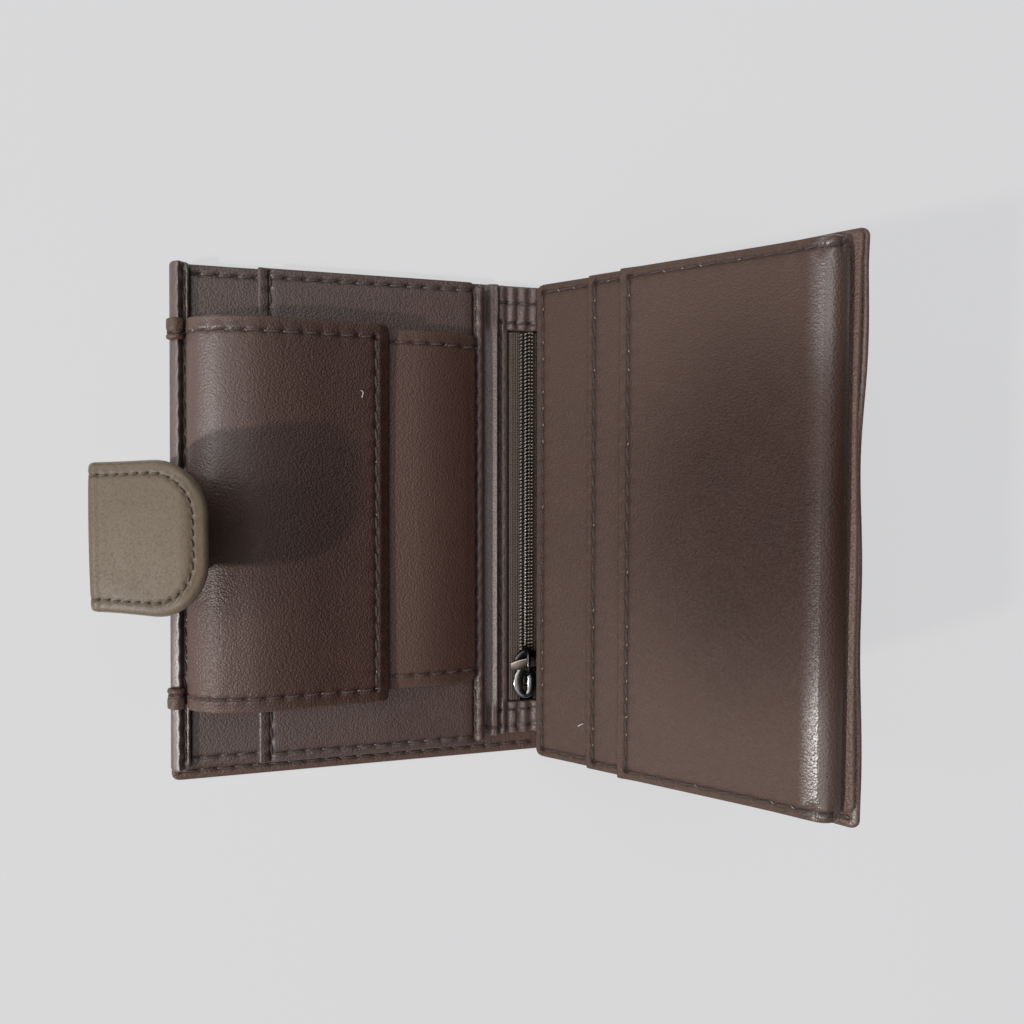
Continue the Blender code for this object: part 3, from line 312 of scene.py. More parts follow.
# Pale specks at the stitch holes: painted glints on the thread
GLINT_SPECK = thread_material("thread_speck", (0.13, 0.115, 0.10), (0.26, 0.235, 0.215), 0.5)
LOOSE = thread_material("loose_thread", (0.30, 0.27, 0.245), (0.50, 0.46, 0.43), 0.5)
CHAIN_THREAD = thread_material("chain_thread", (0.150, 0.110, 0.078), (0.290, 0.225, 0.170), 0.55)
TAPE = tape_material()
NYLON = nylon_material()
BLACK_METAL = metal_material("black_metal", (0.030, 0.029, 0.029), (0.060, 0.057, 0.055), 0.12)
PULL_METAL = metal_material("dark_nickel", (0.13, 0.125, 0.12), (0.22, 0.21, 0.20), 0.16)
BRIDGE_METAL = metal_material("warm_metal", (0.20, 0.16, 0.13), (0.34, 0.28, 0.23), 0.22)


# Mesh helpers

def add_object(name, verts, faces, material, attributes=None):
    mesh = bpy.data.meshes.new(name)
    mesh.from_pydata([tuple(v) for v in verts], [], faces)
    mesh.materials.append(material)
    mesh.shade_smooth()
    mesh.set_sharp_from_angle(angle=SHARP_ANGLE)
    for key, values in (attributes or {}).items():
        data = mesh.attributes.new(key, "FLOAT", "POINT").data
        data.foreach_set("value", np.asarray(values, np.float32))
    mesh.update()
    obj = bpy.data.objects.new(name, mesh)
    bpy.context.scene.collection.objects.link(obj)
    return obj


def carry(piece, body):
    """Let a piece ride on a body, or, where body is one of the blends, bake its place into its mesh."""
    if callable(body):
        body(piece)
    else:
        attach(piece, body)


def put_on(piece, body, *nodes):
    """Give a piece to a body, in place of CAD nodes where some are named."""
    carry(piece, body)
    if nodes:
        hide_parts(*nodes)


def ease(share):
    share = np.clip(share, 0, 1)
    return share * share * (3 - 2 * share)


def bell(distance, width):
    """1 at no distance, and nearly 0 at twice the width."""
    return np.exp(-(distance / width) ** 2)


def belly(y, y0, y1):
    """1 halfway between two edges, falling to 0 at both."""
    return np.clip(1 - ((y - (y0 + y1) / 2) / ((y1 - y0) / 2)) ** 2, 0, 1)


def at_points(value, x, y):
    """A number, or a function of place, at each point."""
    return value(x, y) if callable(value) else value + 0.0 * x


def hash_noise(x, y, seed):
    """Smooth pseudo-random field from a few sine waves, from -1 to 1."""
    rng = random.Random(seed)
    total = 0.0
    for _ in range(5):
        fx, fy, phase = rng.uniform(-1, 1), rng.uniform(-1, 1), rng.uniform(0, math.tau)
        total = total + np.sin(x * fx + y * fy + phase)
    return total / 5


def stations(low, high, fine, holes, step):
    """Grid lines from low to high: always at the ends, seams and stitch holes, evenly spaced elsewhere."""
    marks = {low, high}
    for offset in (0.00006, 0.00018, 0.00036, 0.0006):
        marks |= {low + offset, high - offset}
    for offset in (0.0, 0.00015, 0.00035, 0.0006, 0.0009):
        marks |= {place + side * offset for place in fine for side in (-1, 1)}
    for offset in (-0.0003, 0.0, 0.0003):
        marks |= {place + offset for place in holes}
    kept = []
    for mark in sorted(marks):
        if low <= mark <= high and (not kept or mark - kept[-1] > LEAST_GAP):
            kept.append(mark)
    even = np.linspace(low, high, max(2, round((high - low) / step)) + 1)
    places = np.array(kept)
    kept += [line for line in even if np.abs(places - line).min() > 0.4 * step]
    kept = sorted(kept)
    kept[-1] = high
    return np.array(kept)


def grid_faces(keep):
    """Top, bottom and wall faces of a two-layer grid, for the cells that are kept."""
    wide, tall = keep.shape[0] + 1, keep.shape[1] + 1
    padded = np.pad(keep, 1)

    def at(i, j, layer):
        return layer * wide * tall + i * tall + j
    faces = []
    for i, j in np.argwhere(keep).tolist():
        faces.append((at(i, j, 0), at(i + 1, j, 0), at(i + 1, j + 1, 0), at(i, j + 1, 0)))
        faces.append((at(i, j, 1), at(i, j + 1, 1), at(i + 1, j + 1, 1), at(i + 1, j, 1)))
        around = (((i, j), (i + 1, j), (i, j - 1)), ((i + 1, j), (i + 1, j + 1), (i + 1, j)),
                  ((i + 1, j + 1), (i, j + 1), (i, j + 1)), ((i, j + 1), (i, j), (i - 1, j)))
        for a, b, cell in around:
            if not padded[cell[0] + 1, cell[1] + 1]:
                faces.append((at(*b, 0), at(*a, 0), at(*a, 1), at(*b, 1)))
    return faces


def remove_loose(obj):
    """Drop the grid points that no face uses."""
    bm = bmesh.new()
    bm.from_mesh(obj.data)
    loose = [v for v in bm.verts if not v.link_faces]
    if loose:
        bmesh.ops.delete(bm, geom=loose, context="VERTS")
        bm.to_mesh(obj.data)
    bm.free()


def leaned(points):
    """The left leaf isn't quite square: its outer edge leans inwards towards the top."""
    spine = LEFT.translation.x - 0.002
    share = np.clip((spine - points[:, 0]) / LEAN_RUN, 0, 1)
    climb = np.clip((points[:, 1] + HALF_HEIGHT) / (2 * HALF_HEIGHT), 0, 1)
    low = ease((0.0170 - points[:, 2]) / 0.0045)
    moved = points.copy()
    moved[:, 0] += LEAN * share * climb * low
    return moved


def mapped(points, bend, place):
    """Points of a flat piece, bent, put in their place and leaned."""
    if bend is not None:
        points = bend(points)
    if place is not None:
        matrix = np.array(place)
        points = points @ matrix[:3, :3].T + matrix[:3, 3]
    return leaned(points)


def tube_faces(rings, sides, base=0):
    faces = []
    for k in range(rings - 1):
        for s in range(sides):
            a, b = base + k * sides + s, base + k * sides + (s + 1) % sides
            faces.append((a, b, b + sides, a + sides))
    faces.append(tuple(base + s for s in range(sides))[::-1])
    faces.append(tuple(base + (rings - 1) * sides + s for s in range(sides)))
    return faces


def tube_points(path, radii, sides):
    """Rings of points round a path. Radii gives one radius for each path point."""
    path = np.asarray(path, float)
    tangent = np.gradient(path, axis=0)
    tangent /= np.linalg.norm(tangent, axis=1)[:, None]
    up = np.array([0.0, 0.0, 1.0])
    if abs(tangent[len(path) // 2] @ up) > 0.9:
        up = np.array([1.0, 0.0, 0.0])
    side = np.cross(tangent, up)
    side /= np.maximum(np.linalg.norm(side, axis=1)[:, None], 1e-9)
    lift = np.cross(side, tangent)
    rings = []
    for point, s, u, r in zip(path, side, lift, radii):
        for k in range(sides):
            angle = math.tau * k / sides
            rings.append(point + r * (math.cos(angle) * s + math.sin(angle) * u))
    return rings


def add_tubes(name, tubes, sides, material):
    """One mesh of many tubes. Each tube is a path and its radii."""
    verts, faces = [], []
    for path, radii in tubes:
        faces += tube_faces(len(path), sides, len(verts))
        verts += tube_points(path, radii, sides)
    return add_object(name, verts, faces, material)


# Seams and sheets

class Seam:
    """A row of stitches along a straight line in a sheet's own plane."""

    def __init__(self, start, end, pitch=SEAM_PITCH, depth=1.0):
        self.start = np.array(start, float)
        self.end = np.array(end, float)
        self.length = np.linalg.norm(self.end - self.start)
        self.direction = (self.end - self.start) / self.length
        self.normal = np.array([-self.direction[1], self.direction[0]])
        self.count = max(1, round(self.length / pitch))
        self.step = self.length / self.count
        self.depth = depth
        self.hem = 0.0

    def along_across(self, x, y):
        dx, dy = x - self.start[0], y - self.start[1]
        along = dx * self.direction[0] + dy * self.direction[1]
        across = -dx * self.direction[1] + dy * self.direction[0]
        return along, across

    def press(self, x, y):
        """How deep the seam presses in at each point, with a puckered ridge on its hem side."""
        along, across = self.along_across(x, y)
        beyond = np.maximum(0.0, np.maximum(-along, along - self.length))
        to_hole = np.abs((along / self.step + 0.5) % 1.0 - 0.5) * self.step
        groove = GROOVE_DEPTH * bell(across, GROOVE_WIDTH)
        hole = HOLE_DEPTH * bell(np.hypot(to_hole, across), HOLE_WIDTH)
        pucker = 0.7 - 0.3 * np.cos(math.tau * along / self.step)
        ridge = RIDGE * abs(self.hem) * pucker * bell(across - self.hem * RIDGE_PLACE, RIDGE_WIDTH)
        return self.depth * (groove + hole - ridge) * bell(beyond, GROOVE_WIDTH)

    def mark(self, x, y):
        """Painted shade in the groove beside the thread, from 0 to 1."""
        along, across = self.along_across(x, y)
        inside = (along > -GROOVE_WIDTH) & (along < self.length + GROOVE_WIDTH)
        return bell(across, GROOVE_WIDTH * 0.9) * inside


def seam_rows(x0, x1, y0, y1, sides, pitch=SEAM_PITCH, depth=1.0):
    """Seams along the named sides of a rectangle."""
    lines = {"n": ((x0, y1), (x1, y1)), "e": ((x1, y0), (x1, y1)),
             "s": ((x0, y0), (x1, y0)), "w": ((x0, y0), (x0, y1))}
    return [Seam(*lines[side], pitch, depth) for side in sides]


class Sheet:
    """A sewn leather sheet: outline x0..x1 by y0..y1 and heights z0..z1 in its own plane.

    Seams press into its top, under_seams into its underside. Relief, polish and the share of painted light
    and shade are each a number or a function of place. An open side has no rounded edge. Ripple moves the
    points before they are bent.
    """

    corner = 0.0012
    puff = HEM_PUFF
    wave = 0.0
    seed = 1
    relief = 0.0
    polish = 0.0
    # share of the paler colour: painted light and shade wherever it varies
    bloom = 1.0
    scallop = 0.0
    window = None
    open_sides = ""
    ripple = None
    bend = None
    place = None

    def __init__(self, box, seams=(), under_seams=(), **options):
        self.x0, self.x1, self.y0, self.y1, self.z0, self.z1 = box
        self.seams, self.under_seams = list(seams), list(under_seams)
        for key, value in options.items():
            setattr(self, key, value)
        for seam in self.seams + self.under_seams:
            seam.hem = self.hem_side(seam)

    def hem_side(self, seam):
        """On which side of a seam the nearest edge lies: 1, -1, or 0 where neither is near."""
        middle = (seam.start + seam.end) / 2
        aside = seam.normal * 0.0006
        ahead, behind = self.depth_in(*(middle + aside)), self.depth_in(*(middle - aside))
        if min(ahead, behind) > NEAR_EDGE or abs(ahead - behind) < 1e-9:
            return 0.0
        return 1.0 if ahead < behind else -1.0

    def depth_in(self, x, y):
        """Distance from the nearest free edge, inwards. Open sides count as a metre away."""
        x0, x1 = self.x0 - ("w" in self.open_sides), self.x1 + ("e" in self.open_sides)
        y0, y1 = self.y0 - ("s" in self.open_sides), self.y1 + ("n" in self.open_sides)
        r = self.corner
        qx = np.abs(x - (x0 + x1) / 2) - (x1 - x0) / 2 + r
        qy = np.abs(y - (y0 + y1) / 2) - (y1 - y0) / 2 + r
        outside = np.hypot(np.maximum(qx, 0), np.maximum(qy, 0))
        depth = -(np.minimum(np.maximum(qx, qy), 0) + outside - r)
        if self.window:
            wx0, wx1, wy0, wy1 = self.window
            gap = np.maximum(np.maximum(wx0 - x, x - wx1), np.maximum(wy0 - y, y - wy1))
            depth = np.minimum(depth, gap)
        return np.maximum(depth, 0.0)

    def drift(self, x, y):
        """Soft waviness and relief that top and bottom share."""
        return self.wave * hash_noise(x * 170.0, y * 120.0, self.seed) + at_points(self.relief, x, y)

    def round_off(self, depth):
        half = (self.z1 - self.z0) / 2
        edge = 1.0 - np.minimum(depth / half, 1.0)
        return half * np.sqrt(np.maximum(0.0, 1.0 - edge ** 2))

    def top(self, x, y):
        depth = self.depth_in(x, y)
        hem = depth / (0.5 * SEAM_INSET)
        rise = np.clip(hem, 0, 1) * np.clip(2 - hem, 0, 1)
        height = (self.z0 + self.z1) / 2 + self.round_off(depth) + self.puff * rise
        for seam in self.seams:
            along, across = seam.along_across(x, y)
            tuck = np.cos(math.tau * along / seam.step) * bell(np.abs(across) - 0.0008, 0.0005)
            height = height - seam.press(x, y) - self.scallop * tuck * (along > 0) * (along < seam.length)
        return height + self.drift(x, y)

    def bottom(self, x, y):
        height = (self.z0 + self.z1) / 2 - self.round_off(self.depth_in(x, y))
        for seam in self.under_seams:
            height = height + seam.press(x, y)
        return height + self.drift(x, y)

    def warp(self, x, y):
        """Round the grid's four corners."""
        r = self.corner
        for cx, cy, sx, sy, sides in ((self.x0, self.y0, 1, 1, "ws"), (self.x1, self.y0, -1, 1, "es"),
                                      (self.x1, self.y1, -1, -1, "en"), (self.x0, self.y1, 1, -1, "wn")):
            if r <= 0 or any(side in self.open_sides for side in sides):
                continue
            a = (cx + sx * r - x) * sx / r
            b = (cy + sy * r - y) * sy / r
            here = (a > 0) & (b > 0)
            aa, bb = np.clip(a, 0, 1), np.clip(b, 0, 1)
            new_a, new_b = aa * np.sqrt(1 - bb ** 2 / 2), bb * np.sqrt(1 - aa ** 2 / 2)
            x = np.where(here, cx + sx * r - sx * r * new_a, x)
            y = np.where(here, cy + sy * r - sy * r * new_b, y)
        return x, y

    def lines(self):
        """Grid lines that the seams need: across them at their place, along them at their holes."""
        fine, holes = ([], []), ([], [])
        for seam in self.seams + self.under_seams:
            way = 0 if abs(seam.direction[0]) >= 0.5 else 1
            fine[1 - way].append(seam.start[1 - way])
            places = seam.step * np.arange(seam.count + 1)
            holes[way].extend(seam.start[way] + seam.direction[way] * places)
        if self.window:
            fine[0].extend(self.window[:2])
            fine[1].extend(self.window[2:])
        return fine, holes

    def build(self, name, material, bend=None, place=None, extra_x=(), step=GRID_STEP, slot="brown_leather"):
        """Make the mesh: two layers over one grid, joined round the edges."""
        self.bend, self.place = bend, place
        fine, holes = self.lines()
        xs = stations(self.x0, self.x1, fine[0], holes[0] + list(extra_x), step)
        ys = stations(self.y0, self.y1, fine[1], holes[1], step)
        keep = np.ones((len(xs) - 1, len(ys) - 1), bool)
        if self.window:
            wx0, wx1, wy0, wy1 = self.window
            xs, ys = np.unique([*xs, wx0, wx1]), np.unique([*ys, wy0, wy1])
            mid_x, mid_y = (xs[1:] + xs[:-1]) / 2, (ys[1:] + ys[:-1]) / 2
            in_x, in_y = (mid_x > wx0) & (mid_x < wx1), (mid_y > wy0) & (mid_y < wy1)
            keep = ~(in_x[:, None] & in_y[None, :])
        x, y = self.warp(*np.meshgrid(xs, ys, indexing="ij"))
        top = self.top(x, y)
        bottom = np.minimum(self.bottom(x, y), top - LEAST_THICKNESS)
        points = np.concatenate([np.stack([x, y, z], -1).reshape(-1, 3) for z in (top, bottom)])
        if self.ripple:
            points = self.ripple(points)
        wear = 0.8 * bell(self.depth_in(x, y), WORN_WIDTH).ravel()
        # painted shade along the stitch grooves, on the top layer only
        seam = np.maximum.reduce([0 * x, *(line.mark(x, y) for line in self.seams)]).ravel()
        attributes = {"polish": np.tile(at_points(self.polish, x, y).ravel(), 2),
                      "bloom": np.tile(at_points(self.bloom, x, y).ravel(), 2),
                      "wear": np.concatenate([wear, wear * 0.5]), "seam": np.concatenate([seam, 0 * seam])}
        obj = add_object(name, mapped(points, bend, place), grid_faces(keep), material, attributes)
        remove_loose(obj)
        return obj

    def lay(self, flat, side, rise):
        """Points of the sheet's plane laid on its top or underside, with a rise above it."""
        surface = self.top if side > 0 else self.bottom
        height = surface(flat[:, 0], flat[:, 1]) + side * rise
        return mapped(np.column_stack([flat, height]), self.bend, self.place)

    def jobs(self):
        """Every seam with the side it is sewn from: 1 from above, -1 from below."""
        return [(seam, self, 1) for seam in self.seams] + [(seam, self, -1) for seam in self.under_seams]


def sew_jobs(name, body, jobs, material=THREAD, speck=True, slot="brown_leather"):
    """Thread for several seams, one stitch at a time. Each job is a seam, its sheet and its side."""
    rng = random.Random(name)
    threads, specks = [], []
    share = np.linspace(0.12, 0.88, 7)
    reach = np.abs(2 * share - 1) / 0.76
    for seam, sheet, side in jobs:
        for k in range(seam.count):
            slant = rng.uniform(0.00010, 0.00024)
            shift = rng.uniform(-0.00006, 0.00006)
            travel = (k + share) * seam.step
            across = slant * (share * 2 - 1) + shift
            flat = seam.start + travel[:, None] * seam.direction + across[:, None] * seam.normal
            rise = THREAD_LIFT + rng.uniform(-0.00002, 0.00003) - THREAD_DIP * reach ** 4
            threads.append((sheet.lay(flat, side, rise), THREAD_RADIUS * (1.0 - 0.4 * reach ** 4)))
            # a pale speck at a hole, a painted glint on the thread
            if speck and rng.random() < SPECK_SHARE:
                spot = seam.start + (k + 1.0) * seam.step * seam.direction
                tilt = (seam.direction + seam.normal * rng.uniform(-0.8, 0.8)) * SPECK_REACH
                rise = np.array([0.00004, 0.00016, 0.00004])
                path = sheet.lay(np.array([spot - tilt, spot, spot + tilt]), side, rise)
                specks.append((path, [0.00006, 0.00010, 0.00006]))
    made = [add_tubes(name, threads, 6, material)]
    if specks:
        made.append(add_tubes(name + "_specks", specks, 5, GLINT_SPECK))
    for piece in made:
        carry(piece, body)
    return made


def sew(name, body, sheet, rows, side=1, **options):
    return sew_jobs(name, body, [(row, sheet, side) for row in rows], **options)


def dress(name, sheet, material, body, nodes=None, rows=None, side=1, thread=None, **build):
    """Build a sheet in place of CAD nodes, by default the one of its name, sew it and return its pieces."""
    obj = sheet.build(name, material, **build)
    put_on(obj, body, *((name,) if nodes is None else nodes))
    jobs = sheet.jobs() if rows is None else [(row, sheet, side) for row in rows]
    return [obj] + (sew_jobs(thread or name + "_stitches", body, jobs) if jobs else [])


# Bends: from a sheet's flat plane to its bent form

def right_fold_map(points):
    """From the flat spine over the right fold to the raised leaf. X runs along the outer face."""
    axis_x, axis_z = RIGHT.translation.x, RIGHT.translation.z
    past = points[:, 0] - axis_x
    turn = np.clip(past / axis_z, 0, RIGHT_TURN)
    beyond = np.maximum(past - axis_z * RIGHT_TURN, 0)
    radius = axis_z - points[:, 2]
    new_x = axis_x + np.minimum(past, 0) + radius * np.sin(turn) + beyond * np.cos(turn)
    new_z = axis_z - radius * np.cos(turn) + beyond * np.sin(turn)
    return np.column_stack([new_x, points[:, 1], new_z])


def smooth_path(corners, steps=10):
    """Catmull-Rom curve through the corners, as a dense polyline in the plane of x and z."""
    p = np.array([corners[0], *corners, corners[-1]], float)
    points = []
    for k in range(len(corners) - 1):
        a, b, c, d = p[k:k + 4]
        for t in np.linspace(0, 1, steps, endpoint=False):
            points.append(0.5 * (2 * b + (c - a) * t + (2 * a - 5 * b + 4 * c - d) * t ** 2
                                 + (3 * b - a - 3 * c + d) * t ** 3))
    points.append(p[-1])
    return np.array(points)


def path_steps(path):
    return np.linalg.norm(np.diff(path, axis=0), axis=1)


def path_length(path):
    return float(path_steps(path).sum())


def laid_along(path):
    """Map from a flat sheet to one laid along a path. The sheet's x is the length along the path."""
    lengths = np.concatenate([[0], np.cumsum(path_steps(path))])
    tangents = np.gradient(path, lengths, axis=0)

    def bend(points):
        inside = np.clip(points[:, 0], 0, lengths[-1])
        px, pz, tx, tz = (np.interp(inside, lengths, line) for line in (*path.T, *tangents.T))
        size = np.hypot(tx, tz)
        tx, tz = tx / size, tz / size
        over = points[:, 0] - inside
        return np.column_stack([px + tx * over - tz * points[:, 2], points[:, 1],
                                pz + tz * over + tx * points[:, 2]])
    return bend


def blend_left(piece):
    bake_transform(piece)


def blend_right(piece):
    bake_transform(piece)


# Covers: one sheet of outer leather over each leaf, its fold and half of the spine

def outer_edge_wave(edge, amount, lean, seed):
    """A soft wave along the leaf's outer edge, strongest at the edge."""
    def relief(x, y):
        near = ease(1 - (edge - x) / 0.012)
        ends = ease((HALF_HEIGHT - np.abs(y)) / 0.010)
        return amount * near * ends * (hash_noise(y * 150.0, y * 0.0, seed) * 1.6 - lean)
    return relief


def edge_ripple(edge, amount, seed):
    """Map that moves a leaf's outer edge in and out a little."""
    def move(points):
        near = ease(1 - (edge - points[:, 0]) / 0.006)
        near = near * ease((HALF_HEIGHT - np.abs(points[:, 1])) / 0.008)
        moved = points.copy()
        moved[:, 0] += amount * near * (hash_noise(points[:, 1] * 190.0, points[:, 1] * 60.0, seed) - 0.4)
        return moved
    return move


def build_left_cover():
    x0, _, y0, y1, z0, z1 = box_of("cover_left")
    axis = LEFT.translation.x
    rows = seam_rows(x0 + SEAM_INSET, HALF_SPINE, y0 + SEAM_INSET, y1 - SEAM_INSET, "snw")
    sheet = Sheet((x0, HALF_SPINE, y0, y1, z0, z1), rows[:2], rows, corner=0.0016, open_sides="e", seed=3)
    dress("shell_left", sheet, BROWN, blend_left, ("cover_left", "fold_cover_left", "cover_spine"), rows, -1,
          extra_x=np.linspace(axis - 0.002, axis + 0.002, 9))
    sew("shell_left_inner_stitches", blend_left, sheet, rows[:1])


def build_right_cover():
    y0, y1, z0, z1 = box_of("cover_left")[2:]
    axis = RIGHT.translation
    turned = axis.x + axis.z * RIGHT_TURN
    edge = turned + box_of("cover_right", RIGHT)[1]
    rows = seam_rows(HALF_SPINE, edge - SEAM_INSET, y0 + SEAM_INSET, y1 - SEAM_INSET, "sne")
    sheet = Sheet((HALF_SPINE, edge, y0, y1, z0, z1), rows[:1], rows, corner=0.0016, open_sides="w", seed=4,
                  relief=outer_edge_wave(edge, 0.00045, 0.35, 4), ripple=edge_ripple(edge, 0.0006, 44),
                  polish=lambda x, y: ease((x - edge + 0.0020) / 0.0008))
    dress("shell_right", sheet, BROWN, blend_right, ("fold_cover_right", "cover_right"), rows, -1,
          bend=right_fold_map, extra_x=np.linspace(axis.x - 0.001, turned + 0.001, 14))
    sew("shell_right_inner_stitches", blend_right, sheet, rows[:1])


# Left leaf: inner panel, hem strip, card slot, seam strip

def build_inner_panel_left():
    x0, x1, y0, y1, z0, z1 = box_of("inner_panel_left")
    foot, top = y0 + SEAM_INSET, y1 - SEAM_INSET
    column = box_of("outer_hem_left")[1] + 0.0003
    rows = seam_rows(x0 + SEAM_INSET, box_of("card_slot_left")[0] - 0.0003, foot, top, "ns")
    post = Seam((column, foot), (column, top), depth=1.3)
    panel = Sheet((x0, x1, y0, y1, z0, z1), rows + [post], corner=0.0008, seed=5, wave=0.00006)
    dress("inner_panel_left", panel, PANEL_BROWN, "left_leaf", ("inner_panel_left", "strap_anchor"), rows,
          thread="inner_panel_stitches")


def build_hem_strip():
    _, _, y0, y1, _, level = box_of("inner_panel_left")
    x0, x1 = box_of("outer_hem_left")[:2]
    foot, top = y0 + SEAM_INSET, y1 - SEAM_INSET
    row = Seam((x1 + 0.00012, foot), (x1 + 0.00012, top), depth=0.8)

    def tube(x, y):
        across = np.clip((x - x0) / (x1 - x0), 0, 1.5)
        swell = 0.00100 + 0.00015 * hash_noise(y * 240.0, y * 0, 8)
        fade = ease((across - 0.55) * 4) * (across < 1.0)
        scallops = 0.00014 * np.cos(math.tau * (y - foot) / row.step) * fade
        fall = 0.22 + 0.78 * ease((1.00 - across) / 0.30)
        return swell * np.minimum(across / 0.62, 1.0) ** 0.9 * fall - scallops
    box = (x0 - 0.00015, x1 + 0.0010, y0 - 0.0001, y1 + 0.0001, level + 0.00005, level + 0.0009)
    strip = Sheet(box, [row], corner=0.0008, puff=0, relief=tube, polish=1.0)
    dress("outer_hem_left", strip, HEM_BROWN, "left_leaf", thread="hem_column_stitches", step=0.0004)


def build_card_slot():
    x0, x1, y0, y1, z0, z1 = box_of("card_slot_left")
    foot, top, lip = y0 + SEAM_INSET, y1 - SEAM_INSET, x0 + 0.0024
    rows = seam_rows(x0 + 0.0022, x1, foot, top, "ns")
    rows.append(Seam((lip, foot - 0.001), (lip, top + 0.001), depth=0.9))

    def relief(x, y):
        roll = 0.00035 * bell(x - x0 - 0.0006, 0.0008)
        pucker = 0.0001 * bell(x - lip, 0.0006) * hash_noise(y * 900, x * 0, 12)
        return roll + pucker - 0.0002 * bell(x1 - x, 0.0008)
    slot = Sheet((x0, x1, y0, y1, z0, z1), rows, corner=0.0005, relief=relief, seed=6, wave=0.00008)
    dress("card_slot_left", slot, PANEL_BROWN, "left_leaf", thread="card_slot_stitches")


def build_seam_strip():
    x0, x1, y0, y1, z0, z1 = box_of("seam_strip")
    post = Seam((x0 - 0.0001, y0 + 0.0012), (x0 - 0.0001, y1 - 0.0012))

    def tube(x, y):
        across = np.clip((x - x0) / (x1 - x0), 0, 1)
        scallops = 0.00022 * np.cos(math.tau * (y - post.start[1]) / post.step) * ease(1 - across * 1.6)
        return 0.0003 * np.sin(math.pi * across) - scallops + 0.00008 * hash_noise(y * 500, y * 0, 14)
    box = (x0 - 0.0002, x1 - 0.0001, y0, y1, z0 + 0.0001, z1 + 0.0001)
    dress("seam_strip", Sheet(box, corner=0.0007, puff=0, relief=tube), PANEL_BROWN, "left_leaf", step=0.0005)
    level = Sheet((x0 - 0.002, x1, y0, y1, z0, z1 - 0.0001))
    sew("seam_strip_stitches", "left_leaf", level, [post])


# Coin pocket and its flap

def front_slope(x, edge):
    """How far the pocket's front has come down towards its back on the way to the spine, from 0 to 1."""
    return np.clip((x - edge + SLOPE_RUN) / SLOPE_RUN, 0, 1) ** 1.7


def build_coin_pocket_back():
    dress("coin_pocket_back", Sheet(box_of("coin_pocket_back")), PANEL_BROWN, "left_leaf")


def build_coin_pocket_front():
    x0, x1, y0, y1, _, z1 = box_of("coin_pocket_front")
    back = box_of("coin_pocket_back")
    z0 = z1 - (back[5] - back[4])
    rows = seam_rows(x0 + FLAP_INSET, x1 + 0.0002, y0 + FLAP_INSET, y1 - FLAP_INSET, "nsw")

    def relief(x, y):
        pinch = 0.0005 * (bell(y1 - y, 0.0014) + bell(y - y0, 0.0014)) * ease((x - x0) / 0.004)
        dome = 0.00025 * belly(y, y0, y1) * (x < x1 - 0.001)
        return dome - pinch - SLOPE_DROP * front_slope(x, x1)
    # painted shade on the front: the paler colour fades out towards its spine end
    front = Sheet((x0, x1, y0, y1, z0, z1), rows, relief=relief, seed=9, wave=0.00006,
                  bloom=lambda x, y: 0.2 + 0.8 * ease((x1 - x) / 0.018))
    dress("coin_pocket_front", front, BROWN, "left_leaf", thread="coin_front_stitches")


def build_gussets():
    """The pocket's folded sides, one sheet along a folded path each."""
    front_edge = box_of("coin_pocket_front")[1]
    for node, sign in (("coin_gusset_top", -1), ("coin_gusset_bottom", 1)):
        x0, x1, y0, y1, z0, z1 = box_of(node)
        outer = y1 if sign < 0 else y0
        mouth, crease = outer - sign * 0.0001, outer + sign * (y1 - y0 - 0.0005)
        middle, half = (z0 + z1) / 2, (z1 - z0) / 2 - 0.0002
        lower = [(mouth, -1.0), (outer + sign * 0.0015, -0.8), (crease - sign * 0.0005, -0.35)]
        corners = lower + [(crease, 0.0)] + [(y, -share) for y, share in reversed(lower)]
        path = smooth_path([(y, middle + half * share) for y, share in corners])

        def lay(points, bend=laid_along(path), z0=z0, z1=z1):
            turned = bend(points)
            room = z1 - 0.00035 - SLOPE_DROP * front_slope(turned[:, 1], front_edge) - z0
            height = z0 + (turned[:, 2] - z0) * room / (z1 - z0)
            return np.column_stack([turned[:, 1], turned[:, 0], height])
        box = (0, path_length(path), x0, x1, -0.00015, 0.00015)
        strip = Sheet(box, corner=0.0004, puff=0, wave=0.00004)
        pieces = dress(node, strip, PANEL_BROWN, "left_leaf", bend=lay, step=0.0006)
        pieces[0].data.flip_normals()


def build_coin_flap():
    _, x1, y0, y1, _, z1 = box_of("coin_flap", FLAP)
    half = 0.00045
    level = z1 - half
    path = smooth_path([(0.0004, 0.0006), (0.0006, 0.0022), (0.0016, 0.0038), (0.0034, 0.0052),
                        (0.0061, 0.0065), (0.0095, level + 0.0009), (0.0135, level + 0.0013),
                        (0.0195, level + 0.0010), (0.0270, level + 0.0004), (x1 - 0.0026, level),
                        (x1 - 0.0012, level - 0.0004), (x1, level - 0.0009)], 14)
    length = path_length(path)
    rows = seam_rows(0.0004, length - FLAP_INSET, y0 + FLAP_INSET, y1 - FLAP_INSET, "nse")

    def relief(x, y):
        pinch = bell(y1 - y - 0.0006, 0.0016) + bell(y - y0 - 0.0006, 0.0016)
        ends = ease(x / 0.003) * ease((length - x) / 0.003)
        return 0.0003 * belly(y, y0, y1) * ends - 0.00022 * pinch * ease((x - 0.001) / 0.004)

    def polish(x, y):
        """Gloss on the curl, fading towards the foot."""
        return bell(x - 0.007, 0.005) * (0.05 + 0.95 * ease((y + 0.018) / 0.034))
    # painted light and shade on the flap: paler at the curl, painted shade deepening towards the free edge
    flap = Sheet((0.0, length, y0, y1, -half, half), rows, corner=0.0008, relief=relief, seed=10,
                 wave=0.00012, scallop=0.00005, polish=polish, bloom=lambda x, y: ease(1.06 - x / 0.029))
    dress("coin_flap", flap, BROWN, "coin_flap", bend=laid_along(path), place=FLAP,
          extra_x=np.linspace(0.0003, 0.012, 40))


